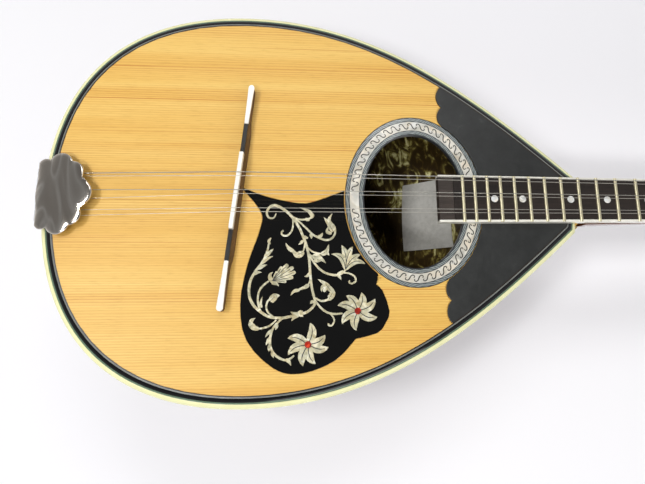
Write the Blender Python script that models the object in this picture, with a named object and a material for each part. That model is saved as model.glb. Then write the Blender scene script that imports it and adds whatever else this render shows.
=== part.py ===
"""A Greek bouzouki with three double courses, lying on its bowl with its head on the table.

Metres, +Z up. Every piece is drawn in the instrument's own frame and hangs from the empty "instrument":
+X from the bridge towards the head, +Y towards the low strings, Z = 0 on top of the soundboard.
The empty lowers the neck until the bowl and the head both touch Z = 0.
"""

import math

import bmesh
import bpy
from mathutils import Vector

# Clearances
GAP = 0.0003
TURNING_GAP = 0.0004

# Scale, frets and strings
SCALE_LENGTH = 0.670
FRET_COUNT = 26
FRET_WIDTH = 0.0022
FRET_CROWN = 0.0012
FRET_HEIGHT = 0.0010
COURSE_SPREAD_NUT = 0.0090
COURSE_SPREAD_BRIDGE = 0.0127
PAIR_SPREAD_NUT = 0.0018
PAIR_SPREAD_BRIDGE = 0.0027
STRING_DIAMETERS = (0.00070, 0.00040, 0.00050, 0.00034, 0.00034, 0.00034)
HOOK_PLACES = (0.0163, 0.0143, 0.0045, -0.0021, -0.0098, -0.0138)
STRING_BEVEL_STEPS = 1

# Body outline, half of it: tail centre, widest place, neck corner
TAIL_X = -0.1482
TAIL_HANDLE = 0.0848
WIDEST_X = -0.0060
HALF_WIDTH = 0.1444
WIDEST_HANDLE_TAIL = 0.0978
WIDEST_HANDLE_NECK = 0.0957
NECK_X = 0.2430
NECK_CORNER = 0.0182
NECK_HANDLE = 0.1093
SHOULDER_SLOPE = 0.89
OUTLINE_STEPS = 28

# Rim: cream binding outside, black band inside it, both sloping down outwards
BINDING_WIDTH = 0.0038
BINDING_BOTTOM = -0.0090
RIM_BAND_WIDTH = 0.0050
RIM_BAND_THICKNESS = 0.0010
RIM_FALL = 0.0016
BINDING_ROUND = ((1.0, 0.0), (0.5, 0.0009), (0.125, 0.0026), (0.0, 0.0042))
SOUNDBOARD_THICKNESS = 0.0030
REBATE_DEPTH = 0.0016
INLAY_THICKNESS = 0.0009
LINING_INSET = 0.0049
LINING_WIDTH = 0.0050
LINING_HEIGHT = 0.0107

# Bowl
BOWL_DEPTH = 0.160
BOWL_WALL = 0.0030
BOWL_DEEPEST_X = -0.0120
HEEL_DEPTH = 0.0340
KEEL_HANDLE_TAIL = 0.0860
KEEL_HANDLE_DEEP_TAIL = 0.0850
KEEL_HANDLE_DEEP_NECK = 0.0950
KEEL_HANDLE_NECK = 0.0800
KEEL_SLOPE = 0.62
STAVE_COUNT = 9
STAVE_FACETS = 3
STAVE_STEPS = 13
BOWL_TAIL_SHARE = 0.16
INNER_SHEET = 0.0006
CLASP_THICKNESS = 0.0015
CLASP_START = 0.035
CLASP_REACH = 0.36
CLASP_LAST_STEP = 0.02

# Sound hole, rosette, corner plates
ROSETTE_X = 0.1150
ROSETTE_HALF_LENGTH = 0.0510
ROSETTE_HALF_WIDTH = 0.0638
ROSETTE_BAND = 0.0133
ROSETTE_STEPS = 44
ROSETTE_CHORD = 0.0002
CORNER_EDGE_X = 0.1386
CORNER_MIDDLE = 0.0090
SCALLOP_CUSPS = (0.0728, 0.0892)
SCALLOP_BULGE = 0.0036

# Paper label seen through the hole
LABEL_X = 0.1523
LABEL_Y = 0.0090
LABEL_LENGTH = 0.0384
LABEL_WIDTH = 0.0608
LABEL_THICKNESS = 0.0004
LABEL_GAP = 0.0008

# Pickguard: top edge, belly, and the lobe beside the rosette
GUARD_TOP = (
    (-0.0106, 0.0086),
    (0.0054, 0.0023),
    (0.0197, -0.0012),
    (0.0321, -0.0031),
    (0.0427, -0.0015),
)
GUARD_LOBE = (
    (0.0846, -0.0613),
    (0.0892, -0.0661),
    (0.0934, -0.0801),
    (0.0903, -0.0883),
    (0.0845, -0.0947),
    (0.0694, -0.0986),
)
GUARD_BELLY = (
    (0.0694, -0.0986),
    (0.0544, -0.1131),
    (0.0316, -0.1211),
    (0.0137, -0.1177),
    (-0.0049, -0.0989),
    (-0.0095, -0.0746),
    (-0.0052, -0.0479),
    (0.0033, -0.0223),
    (0.0038, -0.0092),
    (-0.0106, 0.0086),
)
GUARD_FROM_ROSETTE = 0.0009
GUARD_SIDE_START = math.radians(174.3)
GUARD_SIDE_END = math.radians(243.9)

# Bridge, a loose one held by the strings
BRIDGE_X = -0.0130
BRIDGE_Y = 0.0014
BRIDGE_LENGTH = 0.1627
BRIDGE_SLANT = math.radians(6.9)
BRIDGE_FOOT_WIDTH = 0.0090
BRIDGE_TOP_WIDTH = 0.0050
BRIDGE_BASE_HEIGHT = 0.0078
BONE_WIDTH = 0.0032
BONE_TIP_HEIGHT = 0.0012
BASS_TIP_END = 0.0296
SADDLE_START = 0.0522
SADDLE_END = 0.1068
TREBLE_TIP_START = 0.1287
SADDLE_TOP = 0.0132

# Tailpiece
TAILPIECE_Y = 0.0015
TAILPIECE_SHEET = 0.0012
TAILPIECE_HALF_WIDTH = 0.0180
TAILPIECE_FRONT_X = -0.1215
TAILPIECE_BEND = 0.0026
TAILPIECE_LEG_SHARES = (0.07, 0.24)
HOOK_X = -0.1280
HOOK_RADIUS = 0.0007
HOOK_HEIGHT = 0.0026
COVER_SLOPE = 0.16
COVER_RISE = 0.0022
COVER_CENTRE_X = -0.1310
COVER_CUSPS = ((-0.1486, 0.0222), (-0.1407, 0.0240), (-0.1246, 0.0227), (-0.1175, 0.0102))
COVER_BULGES = (0.0018, 0.0054, 0.0041)
COVER_FRONT_BULGE = 0.0076
STRAP_BUTTON_RADIUS = 0.0065
STRAP_BUTTON_LENGTH = 0.0095
STRAP_BUTTON_Z = -0.0300
STRAP_BUTTON_SHAPE = ((0.9, 0.0), (0.5, 0.25), (0.45, 0.6), (1.0, 0.8), (0.8, 1.0))

# Neck and fingerboard
BOARD_END_X = 0.1424
EXTENSION_END_X = 0.1312
BOARD_THICKNESS = 0.0057
BOARD_HALF_WIDTH_BRIDGE = 0.0185
BOARD_TAPER = 0.0075
BOARD_BINDING = 0.0016
NUT_LENGTH = 0.0046
NUT_TOP = 0.0070
NUT_FALL = 0.0010
NECK_DEPTH_BODY = 0.0195
NECK_DEPTH_NUT = 0.0160
HEEL_LENGTH = 0.075
HEEL_HALF_WIDTH = 0.0176
NECK_STATIONS = 12
NECK_FACETS = 12

# Head and tuners, in the head's frame: x along the head, z out of its face
HEAD_ANGLE = math.radians(12.0)
HEAD_THICKNESS = 0.0160
HEAD_LENGTH = 0.1850
HEAD_END_HALF_WIDTH = 0.0150
HEAD_SIDE = (
    (0.0, 0.0140),
    (0.012, 0.0150),
    (0.024, 0.0235),
    (0.036, 0.0325),
    (0.085, 0.0345),
    (0.150, 0.0390),
)
HEAD_WAIST = (0.1690, 0.0215)
HEAD_SHOULDER_BULGE = -0.0035
HEAD_CREST_BULGE = 0.0030
POST_FIRST_X = 0.045
POST_SPACING = 0.040
POST_Y = 0.0220
POST_RADIUS = 0.0030
POST_TOP = 0.0150
WINDING_TOP = 0.0095
WINDING_TURNS = 2
WINDING_GAP = 0.0005
WINDING_STEPS = 24
PLATE_THICKNESS = 0.0012
PLATE_MARGIN = 0.0200
PLATE_Y = (0.0120, 0.0320)
GEAR_TEETH = 14
GEAR_RADIUS = 0.0052
GEAR_TOOTH = 0.0009
GEAR_THICKNESS = 0.0040
WORM_RADIUS = 0.0028
WORM_CORE = 0.0019
WORM_START = 0.0178
WORM_RIDGES = 3
WORM_PITCH = 0.0028
LUG_THICKNESS = 0.0013
LUG_HALF_WIDTH = 0.0035
LUG_INNER_Y = 0.0158
LUG_OUTER_Y = 0.0286
KEY_START_Y = 0.0146
BUTTON_START_Y = 0.0450
BUTTON_LENGTH = 0.0160
BUTTON_HALF_WIDTH = 0.0065
BUTTON_HALF_THICKNESS = 0.0035
BUTTON_SHAPE = ((0.55, 0.02), (0.85, 0.25), (1.0, 0.6), (0.9, 0.88), (0.6, 1.0))
KEY_SIDES = 10

# Inside
BRACE_WIDTH = 0.0060
BRACE_HEIGHT = 0.0120
BRACE_FULL_SHARE = 0.8
BRACE_PLACES = {"brace_lower": -0.066, "brace_middle": 0.054, "brace_upper": 0.176}
TAIL_BLOCK_X = (-0.1340, -0.1120)
TAIL_BLOCK_HALF_WIDTH = 0.0220
TAIL_BLOCK_DEPTH = 0.0380
NECK_BLOCK_START_X = 0.2050
NECK_BLOCK_DEPTH = 0.0260

BOWL_TOP = BINDING_BOTTOM - GAP
RIM_WIDTH = BINDING_WIDTH + GAP + RIM_BAND_WIDTH
BOARD_BOTTOM = GAP
BOARD_TOP = BOARD_BOTTOM + BOARD_THICKNESS
NUT_X = SCALE_LENGTH - NUT_LENGTH / 2
HEAD_X = NUT_X + NUT_LENGTH + 0.0012
PLATE_TOP = -HEAD_THICKNESS - GAP
PLATE_BOTTOM = PLATE_TOP - PLATE_THICKNESS
WORM_Z = PLATE_BOTTOM - TURNING_GAP - WORM_RADIUS
WORM_OFFSET = GEAR_RADIUS + WORM_RADIUS + TURNING_GAP


def clear_scene():
    for obj in list(bpy.data.objects):
        bpy.data.objects.remove(obj, do_unlink=True)


def linear(channel):
    """One sRGB channel from 0 to 255 as linear light."""
    value = channel / 255
    return value / 12.92 if value <= 0.04045 else ((value + 0.055) / 1.055) ** 2.4


def finish(name, colour, roughness, metallic=0.0):
    """A plain material with an sRGB colour written as 0xRRGGBB."""
    material = bpy.data.materials.new(name)
    material.use_nodes = True
    shader = material.node_tree.nodes["Principled BSDF"]
    channels = [linear(colour >> shift & 255) for shift in (16, 8, 0)]
    shader.inputs["Base Color"].default_value = (*channels, 1)
    shader.inputs["Roughness"].default_value = roughness
    shader.inputs["Metallic"].default_value = metallic
    return material


def empty(name, parent=None, location=(0, 0, 0), pitch=0.0):
    obj = bpy.data.objects.new(name, None)
    bpy.context.scene.collection.objects.link(obj)
    obj.parent = parent
    obj.location = location
    obj.rotation_euler = (0, pitch, 0)
    return obj


def solid(name, points, faces, material=None, parent=None, smooth=None):
    """A closed mesh object, its faces turned outwards. smooth is the sharpest angle that is shaded smooth."""
    shape = bmesh.new()
    vertices = [shape.verts.new(point) for point in points]
    for face in faces:
        shape.faces.new([vertices[i] for i in face])
    bmesh.ops.recalc_face_normals(shape, faces=shape.faces)
    mesh = bpy.data.meshes.new(name)
    shape.to_mesh(mesh)
    shape.free()
    if material:
        mesh.materials.append(material)
    if smooth:
        mesh.shade_smooth()
        mesh.set_sharp_from_angle(angle=math.radians(smooth))
    obj = bpy.data.objects.new(name, mesh)
    bpy.context.scene.collection.objects.link(obj)
    obj.parent = parent
    return obj


def bands(loops, closed=False):
    """Quads between neighbouring loops of equal length, given as the point numbers of one list."""
    size = len(loops[0])
    count = len(loops)
    faces = []
    for row in range(count if closed else count - 1):
        following = (row + 1) % count
        for i in range(size):
            j = (i + 1) % size
            faces.append((row * size + i, row * size + j, following * size + j, following * size + i))
    return faces


def stacked(name, loops, material=None, parent=None, smooth=None):
    """A solid through loops of equal length, capped at the first and the last."""
    size = len(loops[0])
    points = [point for loop in loops for point in loop]
    faces = bands(loops)
    faces.append(tuple(range(size)))
    faces.append(tuple(range(len(points) - size, len(points))))
    return solid(name, points, faces, material, parent, smooth)


def ringed(name, loops, material, parent, smooth=None):
    """A closed ring whose section goes through loops of equal length and back to the first."""
    points = [point for loop in loops for point in loop]
    return solid(name, points, bands(loops, closed=True), material, parent, smooth)


def slab(name, outline, low, high, material=None, parent=None):
    """A flat plate of an (x, y) outline between two heights."""
    loops = [[(x, y, z) for x, y in outline] for z in (low, high)]
    return stacked(name, loops, material, parent)


def side_slab(name, profile, half_width, material=None, parent=None, middle=0.0):
    """An (x, z) profile widened along Y. half_width is a function of x."""
    loops = [[(x, middle + side * half_width(x), z) for x, z in profile] for side in (-1, 1)]
    return stacked(name, loops, material, parent)


def box(name, low, high, parent=None):
    outline = ((low[0], low[1]), (high[0], low[1]), (high[0], high[1]), (low[0], high[1]))
    return slab(name, outline, low[2], high[2], parent=parent)


def circle(radius_x, radius_y, steps, centre=(0.0, 0.0)):
    angles = [2 * math.pi * i / steps for i in range(steps)]
    return [(centre[0] + radius_x * math.cos(a), centre[1] + radius_y * math.sin(a)) for a in angles]


def cutter(obj):
    obj.hide_render = True
    obj.display_type = "WIRE"
    return obj


def combine(obj, tool, operation):
    modifier = obj.modifiers.new(f"{operation.lower()} {tool.name}", "BOOLEAN")
    modifier.operation = operation
    modifier.object = cutter(tool)
    modifier.solver = "EXACT"


def bezier(points, share):
    """The point at a share of a cubic curve, in as many dimensions as its points have."""
    rest = 1 - share
    weights = (rest**3, 3 * share * rest**2, 3 * share**2 * rest, share**3)
    return [sum(w * p[axis] for w, p in zip(weights, points)) for axis in range(len(points[0]))]


def smooth_line(points, steps):
    """A Catmull-Rom line through the points, with its ends left free."""
    line = []
    for i in range(len(points) - 1):
        before = points[max(i - 1, 0)]
        start = points[i]
        end = points[i + 1]
        after = points[min(i + 2, len(points) - 1)]
        for step in range(steps):
            t = step / steps
            place = []
            for a, b, c, d in zip(before, start, end, after):
                square = a - 2.5 * b + 2 * c - d / 2
                cube = 1.5 * (b - c) + (d - a) / 2
                place.append(b + (c - a) * t / 2 + square * t**2 + cube * t**3)
            line.append(tuple(place))
    line.append(tuple(points[-1]))
    return line


def arc(start, end, bulge, steps):
    """Points from start up to, not including, end on an arc that stands out to the left by bulge."""
    chord = Vector((end[0] - start[0], end[1] - start[1]))
    left = Vector((-chord.y, chord.x)).normalized()
    radius = (chord.length**2 / 4 + bulge**2) / (2 * bulge)
    middle = (Vector(start) + Vector(end)) / 2
    centre = middle - left * (radius - bulge)
    half = math.asin(max(-1.0, min(1.0, chord.length / 2 / radius)))
    top = math.atan2(left.y, left.x)
    turns = [top + half - 2 * half * i / steps for i in range(steps)]
    return [(centre.x + radius * math.cos(a), centre.y + radius * math.sin(a)) for a in turns]


def grown(outline, distance):
    """A closed outline moved outwards along its own corners' directions."""
    turn = sum(a[0] * b[1] - b[0] * a[1] for a, b in zip(outline, outline[1:] + outline[:1]))
    sign = 1 if turn > 0 else -1
    result = []
    for i, point in enumerate(outline):
        before = Vector(outline[i - 1])
        here = Vector(point)
        after = Vector(outline[(i + 1) % len(outline)])
        first = (here - before).normalized()
        second = (after - here).normalized()
        along = (first + second).normalized()
        outward = Vector((along.y, -along.x)) * sign
        spread = max(0.5, outward.dot(Vector((first.y, -first.x)) * sign))
        result.append(tuple(here + outward * distance / spread))
    return result


TAIL_CURVE = (
    (TAIL_X, 0.0),
    (TAIL_X, TAIL_HANDLE),
    (WIDEST_X - WIDEST_HANDLE_TAIL, HALF_WIDTH),
    (WIDEST_X, HALF_WIDTH),
)
SHOULDER_DIRECTION = Vector((1, -SHOULDER_SLOPE)).normalized()
SHOULDER_CURVE = (
    (WIDEST_X, HALF_WIDTH),
    (WIDEST_X + WIDEST_HANDLE_NECK, HALF_WIDTH),
    (NECK_X - NECK_HANDLE * SHOULDER_DIRECTION.x, NECK_CORNER - NECK_HANDLE * SHOULDER_DIRECTION.y),
    (NECK_X, NECK_CORNER),
)


def rim_point(share, inset=0.0):
    """The half outline moved in by inset. share runs 0 to 1 from tail to widest and on to 2 at the neck."""
    curve = TAIL_CURVE if share <= 1 else SHOULDER_CURVE
    local = share if share <= 1 else share - 1
    small = 1e-4
    low = Vector(bezier(curve, max(local - small, 0)))
    high = Vector(bezier(curve, min(local + small, 1)))
    along = (high - low).normalized()
    here = Vector(bezier(curve, local))
    return here - Vector((-along.y, along.x)) * inset


def share_at(x, inset=0.0):
    """Where along the half outline it reaches x."""
    low = 0.0
    high = 2.0
    for _ in range(40):
        middle = (low + high) / 2
        if rim_point(middle, inset).x < x:
            low = middle
        else:
            high = middle
    return low


def half_width_at(x, inset=0.0):
    return rim_point(share_at(x, inset), inset).y


def body_loop(inset, z):
    """The whole outline moved in by inset, ending in a straight edge across the neck."""
    last = share_at(NECK_X - inset, inset)
    half = [rim_point(last * i / OUTLINE_STEPS, inset) for i in range(OUTLINE_STEPS + 1)]
    upper = [(p.x, p.y, z) for p in half]
    lower = [(p.x, -p.y, z) for p in reversed(half[1:])]
    return upper + lower


def keel_depth(x):
    """Depth of the bowl below its top edge along the centre line."""
    tail = TAIL_X + GAP
    deep = BOWL_DEPTH + BOWL_TOP
    if x < BOWL_DEEPEST_X:
        curve = (
            (tail, 0.0),
            (tail, KEEL_HANDLE_TAIL),
            (BOWL_DEEPEST_X - KEEL_HANDLE_DEEP_TAIL, deep),
            (BOWL_DEEPEST_X, deep),
        )
    else:
        end = HEEL_DEPTH + BOWL_TOP
        along = Vector((1, -KEEL_SLOPE)).normalized() * KEEL_HANDLE_NECK
        curve = (
            (BOWL_DEEPEST_X, deep),
            (BOWL_DEEPEST_X + KEEL_HANDLE_DEEP_NECK, deep),
            (NECK_X - along.x, end - along.y),
            (NECK_X, end),
        )
    low = 0.0
    high = 1.0
    for _ in range(40):
        middle = (low + high) / 2
        if bezier(curve, middle)[0] < x:
            low = middle
        else:
            high = middle
    return bezier(curve, low)[1]


def bowl_point(share, angle, inward=0.0):
    """A point on the bowl. angle runs from 0 at the bass edge to pi at the treble edge."""

    def surface(s, a):
        rim = rim_point(s, GAP)
        return Vector((rim.x, rim.y * math.cos(a), BOWL_TOP - keel_depth(rim.x) * math.sin(a)))

    here = surface(share, angle)
    if not inward:
        return here
    small = 1e-3
    along = surface(min(share + small, 2), angle) - surface(share - small, angle)
    around = surface(share, angle + small) - surface(share, angle - small)
    return here - along.cross(around).normalized() * inward


def bowl_patch(name, rows, outside, inside, material, parent, edge_gap=0.0):
    """A curved sheet that follows the bowl between two distances in from its outer face. Each row has its
    share along the half outline and the angles of its points.
    """
    columns = len(rows[0][1])
    points = []
    for inward in (outside, inside):
        for share, angles in rows:
            for k, angle in enumerate(angles):
                shift = edge_gap * ((k == 0) - (k == columns - 1))
                around = (bowl_point(share, angle + 1e-3) - bowl_point(share, angle - 1e-3)).length / 2e-3
                points.append(bowl_point(share, angle + shift / around, inward))
    layer = len(rows) * columns
    faces = []
    for row in range(len(rows) - 1):
        for column in range(columns - 1):
            a = row * columns + column
            faces.append((a, a + 1, a + columns + 1, a + columns))
            faces.append((layer + a, layer + a + columns, layer + a + columns + 1, layer + a + 1))
    border = list(range(columns))
    border += [row * columns + columns - 1 for row in range(1, len(rows))]
    border += [(len(rows) - 1) * columns + k for k in range(columns - 2, -1, -1)]
    border += [row * columns for row in range(len(rows) - 2, 0, -1)]
    for a, b in zip(border, border[1:] + border[:1]):
        faces.append((a, layer + a, layer + b, b))
    return solid(name, points, faces, material, parent, smooth=40)


def spread(start, end, steps):
    return [start + (end - start) * i / steps for i in range(steps + 1)]


def board_half_width(x):
    return BOARD_HALF_WIDTH_BRIDGE - BOARD_TAPER * x


def bowl_stations():
    """Where the staves' cross sections lie along the half outline, closest together at the tail."""
    length = 2 - BOWL_TAIL_SHARE
    return [BOWL_TAIL_SHARE + length * (i / STAVE_STEPS) ** 1.15 for i in range(STAVE_STEPS + 1)]


def make_bowl(parent):
    """Staves, the sheet glued inside them and the clasp round the tail, all with the same facets."""
    wood = finish("walnut_staves", 0x5A3A24, 0.35)
    stations = bowl_stations()
    facets = STAVE_COUNT * STAVE_FACETS
    angles = spread(0, math.pi, facets)
    for k in range(STAVE_COUNT):
        first = k * STAVE_FACETS
        part = angles[first : first + STAVE_FACETS + 1]
        rows = [(share, part) for share in stations]
        bowl_patch(f"bowl_stave_{k + 1}", rows, 0.0, BOWL_WALL, wood, parent, GAP / 2)
    sheet = finish("pearloid_sheet", 0x9A8458, 0.3)
    depth = BOWL_WALL + GAP
    rows = [(share, angles[1:-1]) for share in stations[1:-1]]
    bowl_patch("bowl_inner_lining", rows, depth, depth + INNER_SHEET, sheet, parent)
    ebony = finish("ebonised_clasp", 0x2A1E18, 0.3)
    between = [share for share in stations if share < CLASP_REACH - CLASP_LAST_STEP]
    tail = spread(CLASP_START, BOWL_TAIL_SHARE, 3)[:-1] + between + [CLASP_REACH]
    rim = [math.radians(1)] + angles[1:-1] + [math.radians(179)]
    rows = [(share, rim) for share in tail]
    bowl_patch("tail_clasp", rows, -GAP - CLASP_THICKNESS, -GAP, ebony, parent)
    make_label(depth + INNER_SHEET + LABEL_GAP, parent)


def make_label(inward, parent):
    """A square-cut paper, as wide at one end as at the other."""
    rows = []
    for x in spread(LABEL_X - LABEL_LENGTH / 2, LABEL_X + LABEL_LENGTH / 2, 4):
        half_width = half_width_at(x, GAP) - inward
        across = spread(LABEL_Y + LABEL_WIDTH / 2, LABEL_Y - LABEL_WIDTH / 2, 6)
        rows.append((share_at(x, GAP), [math.acos(y / half_width) for y in across]))
    paper = finish("label_paper", 0xB9B4A4, 0.8)
    bowl_patch("label", rows, inward, inward + LABEL_THICKNESS, paper, parent)


def make_rim(parent):
    inner = BINDING_WIDTH
    binding = [body_loop(inner * share, -RIM_FALL - drop) for share, drop in BINDING_ROUND]
    binding += [body_loop(0.0, BINDING_BOTTOM), body_loop(inner, BINDING_BOTTOM)]
    ringed("edge_binding", binding, finish("cream_celluloid", 0xFBF8D5, 0.3), parent, smooth=35)
    outer = inner + GAP
    band = [
        body_loop(RIM_WIDTH, 0),
        body_loop(outer, -RIM_FALL),
        body_loop(outer, -RIM_FALL - RIM_BAND_THICKNESS / 2),
        body_loop(RIM_WIDTH, -RIM_BAND_THICKNESS),
    ]
    ringed("rim_band", band, finish("black_celluloid", 0x17181A, 0.12), parent)
    lining = [
        body_loop(LINING_INSET, -SOUNDBOARD_THICKNESS - GAP),
        body_loop(LINING_INSET + LINING_WIDTH, -SOUNDBOARD_THICKNESS - GAP),
        body_loop(LINING_INSET + LINING_WIDTH, -SOUNDBOARD_THICKNESS - GAP - LINING_HEIGHT),
        body_loop(LINING_INSET, -SOUNDBOARD_THICKNESS - GAP - LINING_HEIGHT),
    ]
    ringed("edge_lining", lining, finish("spruce_lining", 0xC9A468, 0.7), parent)


def rosette_loop(grow, steps=ROSETTE_STEPS):
    half_length = ROSETTE_HALF_LENGTH + grow
    return circle(half_length, ROSETTE_HALF_WIDTH + grow, steps, (ROSETTE_X, 0.0))


def rosette_arc(grow, start, end, steps):
    """Part of the rosette's outer edge, between two angles of its ellipse."""
    half_length = ROSETTE_HALF_LENGTH + grow
    half_width = ROSETTE_HALF_WIDTH + grow
    angles = spread(start, end, steps)
    return [(ROSETTE_X + half_length * math.cos(a), half_width * math.sin(a)) for a in angles]


def guard_outline():
    """Clockwise from the tip: top edge, rosette side, lobe, belly."""
    rosette_side = rosette_arc(GUARD_FROM_ROSETTE, GUARD_SIDE_START, GUARD_SIDE_END, 9)
    top = smooth_line(GUARD_TOP + (rosette_side[0],), 3)
    lobe = smooth_line(GUARD_LOBE, 2)
    belly = smooth_line(GUARD_BELLY, 3)
    return top[:-1] + rosette_side[:-1] + lobe[:-1] + belly[:-1]


def corner_outline(inset):
    """The bass corner plate: scalloped edge, rim, straight edge under the fingerboard, rosette side."""
    grow = GAP + ROSETTE_CHORD
    last = math.acos((CORNER_EDGE_X - ROSETTE_X) / (ROSETTE_HALF_LENGTH + grow))
    cusps = ((ROSETTE_HALF_WIDTH + grow) * math.sin(last),) + SCALLOP_CUSPS
    outline = []
    for low, high in zip(cusps, cusps[1:]):
        outline += arc((CORNER_EDGE_X, low), (CORNER_EDGE_X, high), SCALLOP_BULGE, 6)
    start = share_at(CORNER_EDGE_X, inset)
    end = share_at(NECK_X - inset, inset)
    outline += [tuple(rim_point(share, inset)) for share in spread(start, end, 10)]
    outline.append((NECK_X - inset, CORNER_MIDDLE))
    first = math.asin(CORNER_MIDDLE / (ROSETTE_HALF_WIDTH + grow))
    return outline + rosette_arc(grow, first, last, 10)[:-1]


def mirrored(outline):
    return [(x, -y) for x, y in outline]


def make_top(parent):
    """The soundboard with its hole and pockets, and the plates that lie in them."""
    cedar = finish("cedar_top", 0xE1BA66, 0.35)
    rebate = BINDING_WIDTH + GAP
    top_edge = RIM_WIDTH + GAP
    loops = [
        body_loop(rebate, -SOUNDBOARD_THICKNESS),
        body_loop(rebate, -REBATE_DEPTH - RIM_FALL / 2),
        body_loop(top_edge, -REBATE_DEPTH),
        body_loop(top_edge, 0),
    ]
    board = stacked("soundboard", loops, cedar, parent)
    pocket = -INLAY_THICKNESS - GAP
    above = 0.002
    through = -SOUNDBOARD_THICKNESS - above
    hole = slab("cut_sound_hole", rosette_loop(-ROSETTE_BAND), through, above, parent=parent)
    ledge = slab("cut_rosette_pocket", rosette_loop(GAP), pocket, above, parent=parent)
    guard = slab("cut_guard_pocket", grown(guard_outline(), GAP), pocket, above, parent=parent)
    combine(board, hole, "DIFFERENCE")
    combine(board, ledge, "DIFFERENCE")
    combine(board, guard, "DIFFERENCE")
    corner = grown(corner_outline(RIM_WIDTH + GAP), 3 * GAP)
    for name, outline in (("bass", corner), ("treble", mirrored(corner))):
        tool = slab(f"cut_corner_{name}", outline, pocket, above, parent=parent)
        combine(board, tool, "DIFFERENCE")

    low = -INLAY_THICKNESS
    rings = [
        [(x, y, z) for x, y in rosette_loop(grow)]
        for grow, z in ((0, low), (0, 0), (-ROSETTE_BAND, 0), (-ROSETTE_BAND, low))
    ]
    ringed("rosette", rings, finish("silver_pearloid", 0xA9ABA6, 0.3), parent)
    slab("pickguard", guard_outline(), low, 0.0, finish("black_guard", 0x0E0E10, 0.08), parent)
    grey = finish("corner_celluloid", 0x3E3F3E, 0.3)
    plate = corner_outline(RIM_WIDTH + GAP)
    slab("corner_plate_bass", plate, low, 0.0, grey, parent)
    slab("corner_plate_treble", mirrored(plate), low, 0.0, grey, parent)


def make_inside(parent):
    """Braces and end blocks under the soundboard."""
    spruce = finish("spruce_brace", 0xD9BC82, 0.7)
    under = -SOUNDBOARD_THICKNESS - GAP
    clear = LINING_INSET + LINING_WIDTH + GAP
    for name, x in BRACE_PLACES.items():
        reach = min(half_width_at(x + side * BRACE_WIDTH, clear) for side in (-1, 1))
        profile = (
            (-reach, under),
            (reach, under),
            (reach, under - BRACE_HEIGHT / 3),
            (reach * BRACE_FULL_SHARE, under - BRACE_HEIGHT),
            (-reach * BRACE_FULL_SHARE, under - BRACE_HEIGHT),
            (-reach, under - BRACE_HEIGHT / 3),
        )
        loops = [[(x + side * BRACE_WIDTH / 2, y, z) for y, z in profile] for side in (-1, 1)]
        stacked(name, loops, spruce, parent)
    cedar = finish("cedar_block", 0xB98A55, 0.7)
    back, front = TAIL_BLOCK_X
    width = TAIL_BLOCK_HALF_WIDTH
    outline = ((back, -width), (front, -width), (front, width), (back, width))
    slab("tail_block", outline, under - TAIL_BLOCK_DEPTH, under, cedar, parent)
    start = share_at(NECK_BLOCK_START_X, clear)
    end = share_at(NECK_X - clear, clear)
    side = [tuple(rim_point(share, clear)) for share in spread(start, end, 5)]
    outline = side + mirrored(side)[::-1]
    slab("neck_block", outline, under - NECK_BLOCK_DEPTH, under, cedar, parent)


def bridge_bar(name, start, end, widths, low, high, material, parent):
    """A bar along the slanted bridge line between two lengths from its bass end. widths are foot and top."""
    foot, top = widths
    loops = []
    for length in (start, end):
        y = BRIDGE_LENGTH / 2 - length
        loops.append([(-foot / 2, y, low), (foot / 2, y, low), (top / 2, y, high), (-top / 2, y, high)])
    obj = stacked(name, loops, material, parent)
    obj.location = (BRIDGE_X, BRIDGE_Y, 0)
    obj.rotation_euler = (0, 0, -BRIDGE_SLANT)
    return obj


def make_bridge(parent):
    wood = finish("bridge_rosewood", 0x3B2418, 0.45)
    bone = finish("bone", 0xF2EDDC, 0.35)
    foot = BRIDGE_FOOT_WIDTH
    top = BRIDGE_TOP_WIDTH
    bridge_bar("bridge_base", 0, BRIDGE_LENGTH, (foot, top), GAP, BRIDGE_BASE_HEIGHT, wood, parent)
    low = BRIDGE_BASE_HEIGHT + GAP
    tip = low + BONE_TIP_HEIGHT
    pieces = (
        ("bridge_tip_bass", 0, BASS_TIP_END, tip),
        ("bridge_saddle", SADDLE_START, SADDLE_END, SADDLE_TOP),
        ("bridge_tip_treble", TREBLE_TIP_START, BRIDGE_LENGTH, tip),
    )
    for name, start, end, high in pieces:
        bridge_bar(name, start, end, (BONE_WIDTH, BONE_WIDTH * 0.8), low, high, bone, parent)


def cover_outline(scale=1.0):
    """The lobed edge of the cover, from the back bass corner round the front."""
    outline = []
    for a, b, bulge in zip(COVER_CUSPS, COVER_CUSPS[1:], COVER_BULGES):
        outline += arc(a, b, bulge, 5)
    last = COVER_CUSPS[-1]
    outline += arc(last, (last[0], -last[1]), COVER_FRONT_BULGE, 7)
    back = [(x, -y) for x, y in reversed(COVER_CUSPS)]
    for a, b, bulge in zip(back, back[1:], reversed(COVER_BULGES)):
        outline += arc(a, b, bulge, 5)
    outline.append(back[-1])
    return [(COVER_CENTRE_X + (x - COVER_CENTRE_X) * scale, TAILPIECE_Y + y * scale) for x, y in outline]


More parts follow.
